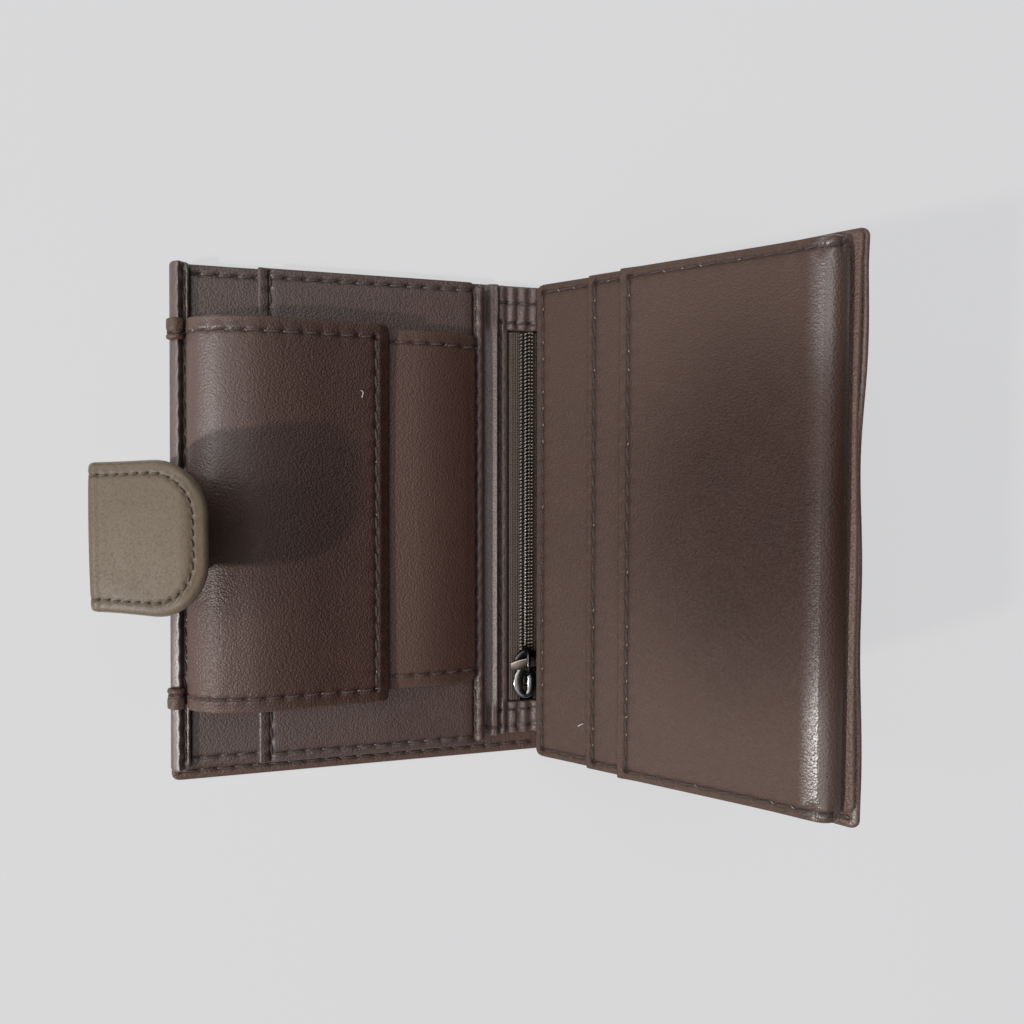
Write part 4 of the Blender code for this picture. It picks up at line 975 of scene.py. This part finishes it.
def build_flap_lining():
    box = box_of("coin_flap_lining", FLAP)
    x0, x1, y0, y1 = box[:4]
    inset = 0.0010
    rows = seam_rows(x0 + inset, x1 - inset, y0 + inset, y1 - inset, "nes")
    lining = Sheet(box, under_seams=rows, corner=0.002, puff=0, seed=11)
    dress("coin_flap_lining", lining, LINING_BROWN_PAINTED_SHEEN, "coin_flap", place=FLAP)


def build_flap_wraps():
    """Turned ends of the flap that lie over the hem strip at its two corners."""
    hem_x0, hem_x1, _, _, _, top = box_of("outer_hem_left")
    y0, y1 = box_of("coin_flap", FLAP)[2:4]
    path = smooth_path([(hem_x0 - 0.0002, top - 0.0002), (hem_x0 - 0.0001, top + 0.0008),
                        (hem_x0 + 0.0008, top + 0.0016), (hem_x1 - 0.0009, top + 0.0017),
                        (hem_x1 + 0.0002, top + 0.0012)])
    length = path_length(path)
    for name, edge, sign in (("flap_wrap_top", y1, -1), ("flap_wrap_bottom", y0, 1)):
        seam_y, far = edge + sign * FLAP_INSET, edge + sign * (FLAP_INSET + 0.0012)
        row = Seam((0.0006, seam_y), (length, seam_y), pitch=0.0020)
        box = (0, length, min(edge, far), max(edge, far), -0.00035, 0.00035)
        band = Sheet(box, [row], corner=0.0004, seed=15)
        for piece in dress(name, band, BROWN, "left_leaf", (), bend=laid_along(path), step=0.0005):
            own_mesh(piece)


# Closing strap


def build_strap():
    """Both halves of the strap. Each path runs in the plane of x and z, from the leaf to the tab's tip."""
    y0, y1 = box_of("strap_span", STRAP)[2:4]
    tab = box_of("strap_tab", TAB)
    root, crease = STRAP.translation, TAB.translation
    up = np.array([-math.cos(STRAP_TURN), math.sin(STRAP_TURN)])
    out = np.array([-math.cos(TAB_TURN), math.sin(TAB_TURN)])
    start, fold = np.array([root.x, root.z]), np.array([crease.x, crease.z])
    anchor = np.array([box_of("strap_anchor")[1], root.z])
    middle = start + up * np.linalg.norm(fold - start) / 2
    bow = 0.0014
    lower = [anchor, anchor + (-0.004, 0), start + (bow * 1.5, 0), start + (bow * 0.45, 0.0002),
             start + up * bow * 0.8, start + up * 0.004, middle]
    upper = [middle, fold - up * 0.004, fold - up * bow, fold - up * 0.00008 + out * 0.00006,
             fold + out * bow, fold + out * 0.004, fold + out * -tab[0]]

    def bend_at_root(piece):
        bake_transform(piece)

    def bend_at_tab(piece):
        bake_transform(piece)
    strap_sheet("strap_lower", lower, y0, y1, False, bend_at_root, ("strap_anchor", "strap_span"), 0.0)
    strap_sheet("strap_upper", upper, y0, y1, True, bend_at_tab, ("strap_tab",), tab[3] - y1)


def strap_sheet(name, corners, y0, y1, ended, body, nodes, flare):
    """One half of the strap, a sheet along its path with fine stitches near its edges."""
    path = smooth_path(corners, 12)
    length = path_length(path)
    centre = (y0 + y1) / 2
    stop = length - TAB_CORNER if ended else length
    rows = seam_rows(0, stop, y0 + STRAP_INSET, y1 - STRAP_INSET, "ns", STRAP_PITCH, STRAP_SEAM_DEPTH)
    if ended:
        rows += tip_rows(length, y0, y1)

    def relief(x, y):
        droop = 0.0006 * ease((x - length + 0.0042) / 0.0042) if ended else 0.0
        return 0.0002 * belly(y, y0, y1) - droop
    sheet = Sheet((0, length, y0, y1, -STRAP_HALF, STRAP_HALF), rows, rows if ended else rows[:2],
                  corner=TAB_CORNER if ended else 0.0, puff=0.0, seed=20, relief=relief,
                  open_sides="w" if ended else "we", wave=0.00006)
    if ended:
        sheet.polish = lambda x, y: ease(1 - sheet.depth_in(x, y) / 0.0014)
    curve = laid_along(path)

    def bend(points):
        share = ease((points[:, 0] - length * 0.30) / (length * 0.70)) if ended else 0
        more = np.where(points[:, 1] > centre, flare + 0.0003, flare + 0.0009)
        wide = centre + (points[:, 1] - centre) * (1 + share * more / (y1 - centre))
        return curve(np.column_stack([points[:, 0], wide, points[:, 2]]))
    bends = np.linspace(0.0045, 0.0125, 50) if ended else np.linspace(0.0065, 0.0125, 36)
    dress(name, sheet, TAUPE, body, nodes, (), bend=bend, step=0.0006, extra_x=bends, slot="strap_leather")
    jobs = [(row, sheet, 1) for row in rows] + [(row, sheet, -1) for row in rows[:2]]
    sew_jobs(name + "_stitches", body, jobs, TAUPE_THREAD, False, "strap_leather")


def tip_rows(length, y0, y1):
    """Short straight seams that follow the round end of the tab."""
    edge, radius = length - STRAP_INSET, TAB_CORNER - STRAP_INSET
    low, high = y0 + TAB_CORNER, y1 - TAB_CORNER
    rows = [Seam((edge, low), (edge, high), STRAP_PITCH, STRAP_SEAM_DEPTH)]
    for y, sign in ((high, 1), (low, -1)):
        points = [(length - TAB_CORNER + radius * math.sin(a), y + sign * radius * math.cos(a))
                  for a in np.linspace(0, math.pi / 2, 7)]
        rows += [Seam(a, b, STRAP_PITCH, STRAP_SEAM_DEPTH) for a, b in zip(points, points[1:])]
    return rows


def build_tab_lining():
    x0, x1, y0, y1, z0, z1 = box_of("strap_tab_lining", TAB)
    lining = Sheet((x0, x1, y0, y1, z0, z1 + 0.00006), corner=0.0035, puff=0, seed=21)
    dress("strap_tab_lining", lining, LINING_BROWN_PAINTED_SHEEN, "strap_tab", place=TAB, slot="strap_leather")


# Spine lining with the zip window

def build_spine_lining():
    _, x1, y0, y1, z0, z1 = box_of("spine_lining")
    left_edge = box_of("fold_lining_left")[0]
    tape_y0, tape_y1 = box_of("zip_tape_left")[2:4]
    window = (ZIP_X - 0.0036, ZIP_X + 0.0036, tape_y0 - 0.0003, tape_y1 + 0.0003)
    split, end = window[0] - 0.0018, x1 + 0.0015
    low, high = window[2] - 0.0018, window[3] + 0.0016
    post = Seam((split, low), (split, high), depth=1.25)
    foot_row = Seam((split, low), (end, low))
    foot_edge = Seam((left_edge + 0.001, y0 + 0.0018), (end, y0 + 0.0018))
    top_rows = [Seam((split, high), (end, high)), Seam((split - 0.001, y1 - 0.0035), (end, y1 - 0.0035))]

    def wrinkles(x, y):
        """Folds that fan out above and below the window, a crumpled surface and the lip beside the zip."""
        ends = ease((y - window[3] + 0.001) / 0.002) + ease((window[2] + 0.001 - y) / 0.002)
        folds = np.sin((x - split) * 2600 + hash_noise(x * 300, y * 100, 31) * 1.5)
        crumple = 0.00007 * hash_noise(x * 2200, y * 90, 32)
        bulge = np.clip((x - left_edge - 0.0012) / (split - left_edge - 0.0012), 0, 1)
        swell = 0.0018 * bulge ** 1.3 * ease((1.0 - bulge) / 0.26) * (x < split)
        lip = 0.00018 * bell(x - window[0] + 0.0007, 0.0006) * (x > split)
        return ends * 0.00022 * folds + crumple + swell + lip
    left = Sheet((left_edge, split, y0, y1, z0, z1), [post, foot_edge], corner=0.0004, open_sides="e",
                 relief=wrinkles, seed=33)
    axis = LEFT.translation.x
    dress("lining_left", left, LINING_BROWN_PAINTED_SHEEN, blend_left, ("fold_lining_left",), (),
          extra_x=np.linspace(axis - 0.0018, axis + 0.0018, 9), step=0.00055)

    axis = RIGHT.translation
    reach = axis.x + axis.z * RIGHT_TURN + 0.0022
    right = Sheet((split, reach, y0, y1, z0, z1), [post, foot_row, foot_edge] + top_rows, corner=0.0004,
                  open_sides="w", relief=wrinkles, window=window, seed=33)
    dress("lining_right", right, LINING_BROWN_PAINTED_SHEEN, blend_right, ("spine_lining", "fold_lining_right"), (),
          bend=right_fold_map, extra_x=np.linspace(axis.x - 0.001, reach - 0.0002, 9), step=0.00055)
    sew("lining_stitches", blend_right, right, [post, foot_row] + top_rows, speck=False)
    to_split = Seam(foot_edge.start, (split, foot_edge.start[1]))
    sew("lining_foot_stitches", blend_left, left, [to_split], speck=False)


# Zip chain on its tapes

def tape_ribs(x, y):
    """Chevron yarns of the tape, two columns to the millimetre."""
    column = x * 2000
    lean = np.where(np.floor(column) % 2 == 0, 1.0, -1.0)
    return 0.00005 * np.abs(np.sin(math.pi * column)) * (0.6 + 0.4 * np.sin(y * 9500 + lean * column * 2.2))


def build_tapes():
    reach = 0.0009
    for node in ("zip_tape_left", "zip_tape_right"):
        x0, x1, y0, y1, z0, z1 = box_of(node)
        sides = (x0, x1 + reach) if "left" in node else (x0 - reach, x1)
        tape = Sheet((*sides, y0, y1, z0 - 0.0001, z1 - 0.0001), corner=0.0003, puff=0, relief=tape_ribs,
                     wave=0.00003)
        dress(node, tape, TAPE, "spine", step=0.00022, slot="zip_tape_cloth")


def build_coil(node, sign):
    """One side of the chain: a flattened nylon coil that runs on through its sewn top stop."""
    y0, _, z0, z1 = box_of(node)[2:]
    turns = int((box_of("zip_stop_top")[3] - y0) / COIL_PITCH)
    inner, outer = ZIP_X - sign * 0.00028, ZIP_X + sign * 0.00135
    t = np.linspace(0, turns, turns * 10 + 1)
    x = (inner + outer) / 2 + abs(outer - inner) / 2 * np.cos(math.tau * t) * sign
    y = y0 + (t + (0.5 if sign > 0 else 0.0)) * COIL_PITCH
    z = (z0 + z1) / 2 + (z1 - z0) * 0.36 * np.sin(math.tau * t)
    tube = (np.column_stack([x, y, z]), np.full(len(t), 0.00017))
    coil = add_tubes(node + "_coil", [tube], 5, NYLON)
    put_on(coil, "spine", node, *(["zip_stop_top"] if sign < 0 else []))


def build_sewing_dots():
    """Stitches of the chain that hold each coil to its tape, seen as columns of small paler dots."""
    y0, _, _, z1 = box_of("zip_teeth_left")[2:]
    count = int((box_of("zip_stop_top")[3] - y0) / COIL_PITCH)
    dot = np.array([(-0.0002, -0.00008, -0.00005), (0.0, 0.0, 0.00014), (0.0002, 0.00008, -0.00005)])
    tubes = []
    for column, lift in ((-0.00105, 0.0), (-0.0002, 0.00010), (0.00065, 0.0), (0.0013, -0.0001)):
        for k in range(count):
            y = y0 + (k + 0.5 + (0.5 if column > 0 else 0)) * COIL_PITCH
            tubes.append((dot + (ZIP_X + column, y, z1 + lift), [0.00009, 0.00014, 0.00009]))
    put_on(add_tubes("chain_sewing", tubes, 5, CHAIN_THREAD), "spine")


# Right leaf and the turning page

def build_right_leaf():
    box = box_of("inner_panel_right", RIGHT)
    x0, x1, y0, y1 = box[:4]
    rows = seam_rows(x0 + SEAM_INSET, x1 - SEAM_INSET * 1.7, y0 + SEAM_INSET, y1 - SEAM_INSET, "nes")
    panel = Sheet(box, rows, corner=0.0016, seed=40, relief=outer_edge_wave(x1, 0.0006, -0.5, 41),
                  ripple=edge_ripple(x1, 0.00045, 43), polish=lambda x, y: bell(x - x1 + 0.0028, 0.0005))
    dress("inner_panel_right", panel, BROWN, "right_leaf", place=RIGHT)


def page_pinch(y0, y1, x0, amount, lift):
    """Layers drawn together by the stitches at the page's free edge, top and foot."""
    def relief(x, y):
        edge = np.minimum(np.minimum(y1 - y, y - y0), np.maximum(x - x0, 0) + 0.0004)
        return amount * bell(edge, 0.0018) + lift * belly(y, y0, y1) * np.clip((x - x0) / 0.02, 0, 1)
    return relief


def gloss_out_of_painted_shadow(y):
    """How much gloss is left along the roll: most is taken away across the middle of its height, a painted
    shadow on the highlight.
    """
    return 1.0 - 0.86 * np.exp(-((y - 0.001) / 0.0295) ** 8)


def page_bloom(x, y):
    """Share of the paler colour on the page, as painted light and shade: a soft painted shadow a little right
    of the middle, painted sheen round it that is stronger towards the foot and head, and less towards the
    free edge.
    """
    spot = ((x + 0.0115) / 0.023) ** 2 + ((y - 0.004) / 0.032) ** 2
    ends = 0.22 * np.clip(-y / 0.035, 0, 1) + 0.13 * np.clip(y / 0.035, 0, 1)
    inner = 1 - 0.20 * ease((-x - 0.028) / 0.018)
    return 0.95 * (1 - np.exp(-spot ** 1.6)) * (0.72 + ends) * inner


def press_page(pieces):
    """Give each of the page's pieces a mesh of its own."""
    for piece in pieces:
        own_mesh(piece)


def page_rows(column, start, end, y0, y1, inset):
    """A seam down the page's free edge, and one along its head and its foot."""
    down = Seam((column, y0 + inset), (column, y1 - inset), depth=1.1)
    return [down] + seam_rows(start, end, y0 + inset, y1 - inset, "ns")


def build_page_layers():
    """The page's back, base and lower slot panel."""
    free, slot_edge, front_edge = (box_of(node, PAGE)[0] for node in ("page_base", "page_slot", "page_front"))
    back_end = box_of("page_back", PAGE)[1]
    layers = (("page_back", 0.00012, 0.0, 0.0, back_end - 0.001, 0.0016),
              ("page_base", -0.00016, 0.00008, 0.0045, slot_edge - 0.0002, 0.0016),
              ("page_slot", -0.00022, 0.0001, 0.0060, front_edge - 0.0002, 0.0004))
    for node, amount, lift, cut, until, corner in layers:
        x0, x1, y0, y1, z0, z1 = box_of(node, PAGE)
        back = node == "page_back"
        rows = page_rows(x0 + PAGE_INSET * 0.95, x0 + PAGE_INSET, until, y0, y1, PAGE_INSET)
        sheet = Sheet((x0, x1 - cut, y0, y1, z0, z1), [] if back else rows, rows if back else [],
                      corner=corner, relief=page_pinch(y0, y1, free, amount, lift), seed=50,
                      scallop=0.00016, wave=0.00005, bloom=0.5 if back else page_bloom)
        press_page(dress(node, sheet, PAGE_BROWN, "page", place=PAGE))


def build_page_front():
    """The front panel, which rolls over the page's outer edge."""
    x0, _, y0, y1, _, z1 = box_of("page_front", PAGE)
    half, rise, inset = 0.0004, 0.00045, 0.0017
    centre = z1 - half
    turn = [(-0.0015 + 0.0031 * math.sin(t), centre + rise - 0.0030 * (1 - math.cos(t)))
            for t in np.linspace(0.0, 1.35, 12)]
    path = smooth_path([(x0, centre), (x0 + 0.010, centre), (-0.0170, centre), (-0.0110, centre + 0.00005),
                        (-0.0065, centre + 0.00020), (-0.0038, centre + 0.00038), *turn,
                        (0.00150, centre - 0.0026), (0.0009, centre - 0.0031), (0.0, centre - 0.00325)], 8)
    length = path_length(path)
    rows = page_rows(inset * 1.1, inset * 1.1, length - 0.0035, y0, y1, inset)

    def relief(x, y):
        pinch = 0.0003 * bell(np.minimum(y1 - y, y - y0), 0.0018) * ease(x / 0.004)
        return 0.00022 * belly(y, y0, y1) * ease(x / 0.012) * ease((length - x) / 0.004) - pinch
    sheet = Sheet((0, length, y0, y1, -half, half), rows, corner=0.0004, relief=relief, seed=51,
                  scallop=0.00014, wave=0.00005, bloom=lambda x, y: page_bloom(x + x0, y),
                  polish=lambda x, y: ease((x - length + 0.0094) / 0.0040) * gloss_out_of_painted_shadow(y))
    press_page(dress("page_front", sheet, PAGE_BROWN, "page", bend=laid_along(path), place=PAGE,
                     extra_x=np.linspace(length - 0.012, length - 0.0005, 48)))


def build_loose_ends():
    """Three pale thread ends left beside their seams."""
    ends = (("page", PAGE, (-0.0455, -0.0393, -0.00005), (0.0013, 0.0007)),
            ("page", PAGE, (-0.0361, -0.0455, 0.0009), (0.0002, -0.0019)),
            ("coin_flap", FLAP, (0.0318, 0.0239, 0.0072), (-0.0002, 0.0013)))
    share = np.linspace(0, 1, 7)
    arch = np.sin(math.pi * share)
    for index, (body, place, start, reach) in enumerate(ends):
        path = np.column_stack([start[0] + reach[0] * share + 0.00030 * arch,
                                start[1] + reach[1] * share + 0.00030 * arch, start[2] + 0.00035 * arch])
        tube = (mapped(path, None, place), np.linspace(0.00011, 0.00006, 7))
        put_on(add_tubes("loose_end_%d" % (index + 1), [tube], 5, LOOSE), body)


# Zip slider and pull

def rim(half, power, sides):
    """Share across and height at each corner of a band's rounded section."""
    angles = [math.tau * k / sides for k in range(sides)]
    return [(0.5 - 0.5 * math.cos(a), half * math.copysign(abs(math.sin(a)) ** power, math.sin(a)))
            for a in angles]


def ring_plate(name, outer, inner, level, half, place, material, sides=16):
    """A rounded loop between two closed outlines, thickest in the middle of its rim."""
    verts, faces = [], []
    for a, b in zip(outer, inner):
        for share, lift in rim(half, 0.7, sides):
            x, y = np.array(a) * (1 - share) + np.array(b) * share
            verts.append((x, y, level(x) + lift))
    for i in range(len(outer)):
        j = (i + 1) % len(outer)
        for k in range(sides):
            m = (k + 1) % sides
            faces.append((i * sides + k, j * sides + k, j * sides + m, i * sides + m))
    return add_object(name, mapped(np.array(verts), None, place), faces, material)


def round_outline(half_x, y0, y1, waist, shift=0.0, count=72):
    """Closed outline, wider towards its lower end when waist is above zero."""
    points = []
    for k in range(count):
        angle = math.tau * k / count
        x = half_x * math.sin(angle) * (1 - waist * math.cos(angle))
        points.append((x + shift, (y0 + y1) / 2 + (y1 - y0) / 2 * math.cos(angle)))
    return points


def build_slider():
    """Two rounded plates with a neck between them and a low bridge, round the chain."""
    x0, x1, y0, y1, z0, z1 = box_of("zip_slider", SLIDER)
    outline = round_outline((x1 - x0) / 2 * 0.80, y0 + 0.0006, y1 - 0.0016, -0.14)
    centre = [(0.0, (y0 + y1) / 2)] * len(outline)
    plates = (("zip_slider_top", z1 - 0.0012, 0.00045, ["zip_slider"]),
              ("zip_slider_base", z0 + 0.0004, 0.0004, []))
    for name, z, half, nodes in plates:
        plate = ring_plate(name, outline, centre, lambda x, z=z: z - 12 * x * x, half, SLIDER, BLACK_METAL)
        put_on(plate, "zip_slider", *nodes)
    neck = [(0, y1 - 0.0018, z0 + 0.0003), (0, y1 - 0.0018, z1 - 0.0008)]
    arch = [(0.0, 0.0028, z1 - 0.0012), (0.0, 0.0024, z1 - 0.0003), (0.0, 0.0012, z1 + 0.0001),
            (0.0, 0.0, z1 + 0.0002), (0.0, -0.0012, z1 + 0.0001), (0.0, -0.0022, z1 - 0.0004),
            (0.0, -0.0025, z1 - 0.0012)]
    for name, path, radius, sides in (("zip_slider_neck", neck, 0.0007, 12),
                                      ("zip_slider_bridge", arch, 0.00045, 10)):
        points = mapped(np.array(tube_points(path, [radius] * len(path), sides)), None, SLIDER)
        rod = add_object(name, points, tube_faces(len(path), sides), BLACK_METAL)
        put_on(rod, "zip_slider")


def build_pull():
    """The loop of the pull and the warm-toned bridge at its head."""
    outer = round_outline(0.00270, -0.0073, 0.0001, 0.14, -0.0004)
    inner = round_outline(0.00030, -0.0060, -0.0018, 0.0, -0.0004)
    loop = ring_plate("zip_pull_loop", outer, inner, lambda x: 0.00005, 0.00055, PULL, PULL_METAL)
    put_on(loop, "zip_pull", "zip_pull")
    verts = []
    stops, sides = 25, 12
    for t in np.linspace(-1, 1, stops):
        x, y = -0.0037 + 0.0071 * (t + 1) / 2, 0.0001 + 0.0006 * t
        z = 0.0007 - 0.0005 * t ** 2 - 0.0004 * max(t, 0) ** 2
        width = 0.00115 * (1 - 0.30 * abs(x / 0.0037) ** 4)
        low, high = np.array((x, y - width, z - 0.00030)), np.array((x, y + width, z + 0.00035))
        across = high - low
        normal = np.array([0.0, -across[2], across[1]]) / np.linalg.norm(across)
        verts += [low + across * share + normal * lift for share, lift in rim(0.00028, 0.5, sides)]
    points = mapped(np.array(verts), None, PULL)
    bridge = add_object("zip_pull_bridge", points, tube_faces(stops, sides), BRIDGE_METAL)
    put_on(bridge, "zip_pull")


# Hardware: the CAD solids stay, with metal on them

def dress_hardware():
    for node in ("coin_stud", "coin_rivet", "coin_flap_socket", "strap_stud", "strap_rivet",
                 "strap_tab_socket", "zip_stop_bottom"):
        obj = frame["nodes"][node]
        obj.data.materials.clear()
        obj.data.materials.append(BLACK_METAL)


# Stage, light and camera

def floor_material():
    """Pale floor that looks evenly lit to the camera."""
    skin = Skin("pale_floor")
    skin.shade({"Base Color": skin.blend(skin.noise(6.0), (0.665, 0.665, 0.675), (0.685, 0.685, 0.692)),
                "Roughness": 0.9, "Specular IOR Level": 0.1})
    seen = skin.add("ShaderNodeLightPath", "Is Camera Ray")
    glow = skin.add("ShaderNodeEmission", 0, {"Color": (0.655, 0.655, 0.664)})
    parts = {0: skin.math("MULTIPLY", seen, 0.86), 1: skin.shader.outputs[0], 2: glow}
    surface = skin.tree.nodes["Material Output"].inputs["Surface"]
    skin.feed(surface, skin.add("ShaderNodeMixShader", 0, parts))
    return skin.material


def add_floor():
    corners = [(-30, -30, 0), (30, -30, 0), (30, 30, 0), (-30, 30, 0)]
    floor = add_object("floor", corners, [(0, 1, 2, 3)], floor_material())
    floor.location.z = -BELOW_FLOOR


def add_lights():
    """A warm key light and a wider, cooler one beside it, both from the left."""
    target = Vector((0.015, 0, 0.015))
    for name, direction, size, power, colour in (
            ("key", (-0.80, -0.28, 0.53), (0.07, 0.07), 19.5, (1.0, 0.975, 0.945)),
            ("side", (-0.83, 0.14, 0.54), (0.12, 0.24), 4.0, (0.97, 0.99, 1.0))):
        data = bpy.data.lights.new(name, "AREA")
        data.shape = "RECTANGLE"
        data.size, data.size_y = size
        data.energy = power
        data.color = colour
        light = bpy.data.objects.new(name, data)
        light.location = Vector(direction).normalized() * LIGHT_DISTANCE
        light.rotation_euler = (target - light.location).to_track_quat("-Z", "Y").to_euler()
        bpy.context.scene.collection.objects.link(light)


def add_room():
    """Light of the room by direction: soft panels to the left, above and below, darker overhead."""
    world = bpy.data.worlds.new("studio")
    bpy.context.scene.world = world
    room = Nodes(world)
    direction_seen = room.add("ShaderNodeTexCoord", "Generated")
    level = 0.0
    for operation, direction, wide, narrow, outside, inside in (
            ("ADD", (-0.12, 0.46, 0.88), 32, 8, 0.0, 2.0),
            ("ADD", (-0.2, -0.48, 0.85), 28, 8, 0.0, 1.3),
            ("ADD", (-0.55, 0.0, 0.83), 52, 14, 0.16, 0.62),
            ("ADD", (-0.52, 0.10, 0.85), 22, 8, 0.0, 2.6),
            ("ADD", (-0.86, 0.36, 0.36), 17, 6, 0.0, 1.8),
            ("MULTIPLY", (0.26, 0.0, 0.96), 31, 13, 1.0, 0.04),
            ("MULTIPLY", (-0.93, -0.02, 0.36), 20, 6, 1.0, 0.25),
            ("MULTIPLY", (1.0, 0.0, 0.25), 75, 20, 1.0, 0.5)):
        dot = room.add("ShaderNodeVectorMath", "Value",
                       {0: direction_seen, 1: Vector(direction).normalized()}, operation="DOT_PRODUCT")
        lobe = room.spread(dot, math.cos(math.radians(wide)), math.cos(math.radians(narrow)), outside,
                           inside, interpolation_type="SMOOTHSTEP")
        level = room.math(operation, level, lobe)
    tinted = room.blend(1.0, (0.97, 0.985, 1.0), level, "MULTIPLY")
    seen = room.add("ShaderNodeLightPath", "Is Camera Ray")
    background = room.tree.nodes["Background"].inputs
    room.feed(background["Strength"], 1.0)
    room.feed(background["Color"], room.blend(seen, tinted, (0.66, 0.66, 0.67)))
    bpy.context.scene.view_settings.view_transform = "Standard"


def add_camera():
    data = bpy.data.cameras.new("camera")
    data.sensor_width = SENSOR_WIDTH
    data.lens = SENSOR_WIDTH * FOCAL_PIXELS / PHOTO_PIXELS
    data.clip_start = 0.005
    camera = bpy.data.objects.new("camera", data)
    camera.matrix_world = (Matrix.Translation(CAMERA_PLACE) @ Matrix.Rotation(CAMERA_YAW, 4, "Y")
                           @ Matrix.Rotation(CAMERA_PITCH, 4, "X") @ Matrix.Rotation(CAMERA_ROLL, 4, "Z"))
    bpy.context.scene.collection.objects.link(camera)
    bpy.context.scene.camera = camera


build_left_cover()
build_right_cover()
build_inner_panel_left()
build_hem_strip()
build_card_slot()
build_seam_strip()
build_coin_pocket_back()
build_coin_pocket_front()
build_gussets()
build_coin_flap()
build_flap_lining()
build_flap_wraps()
build_strap()
build_tab_lining()
build_spine_lining()
build_tapes()
build_coil("zip_teeth_left", -1)
build_coil("zip_teeth_right", 1)
build_sewing_dots()
build_right_leaf()
build_page_layers()
build_page_front()
build_loose_ends()
build_slider()
build_pull()
dress_hardware()
add_floor()
add_lights()
add_room()
add_camera()
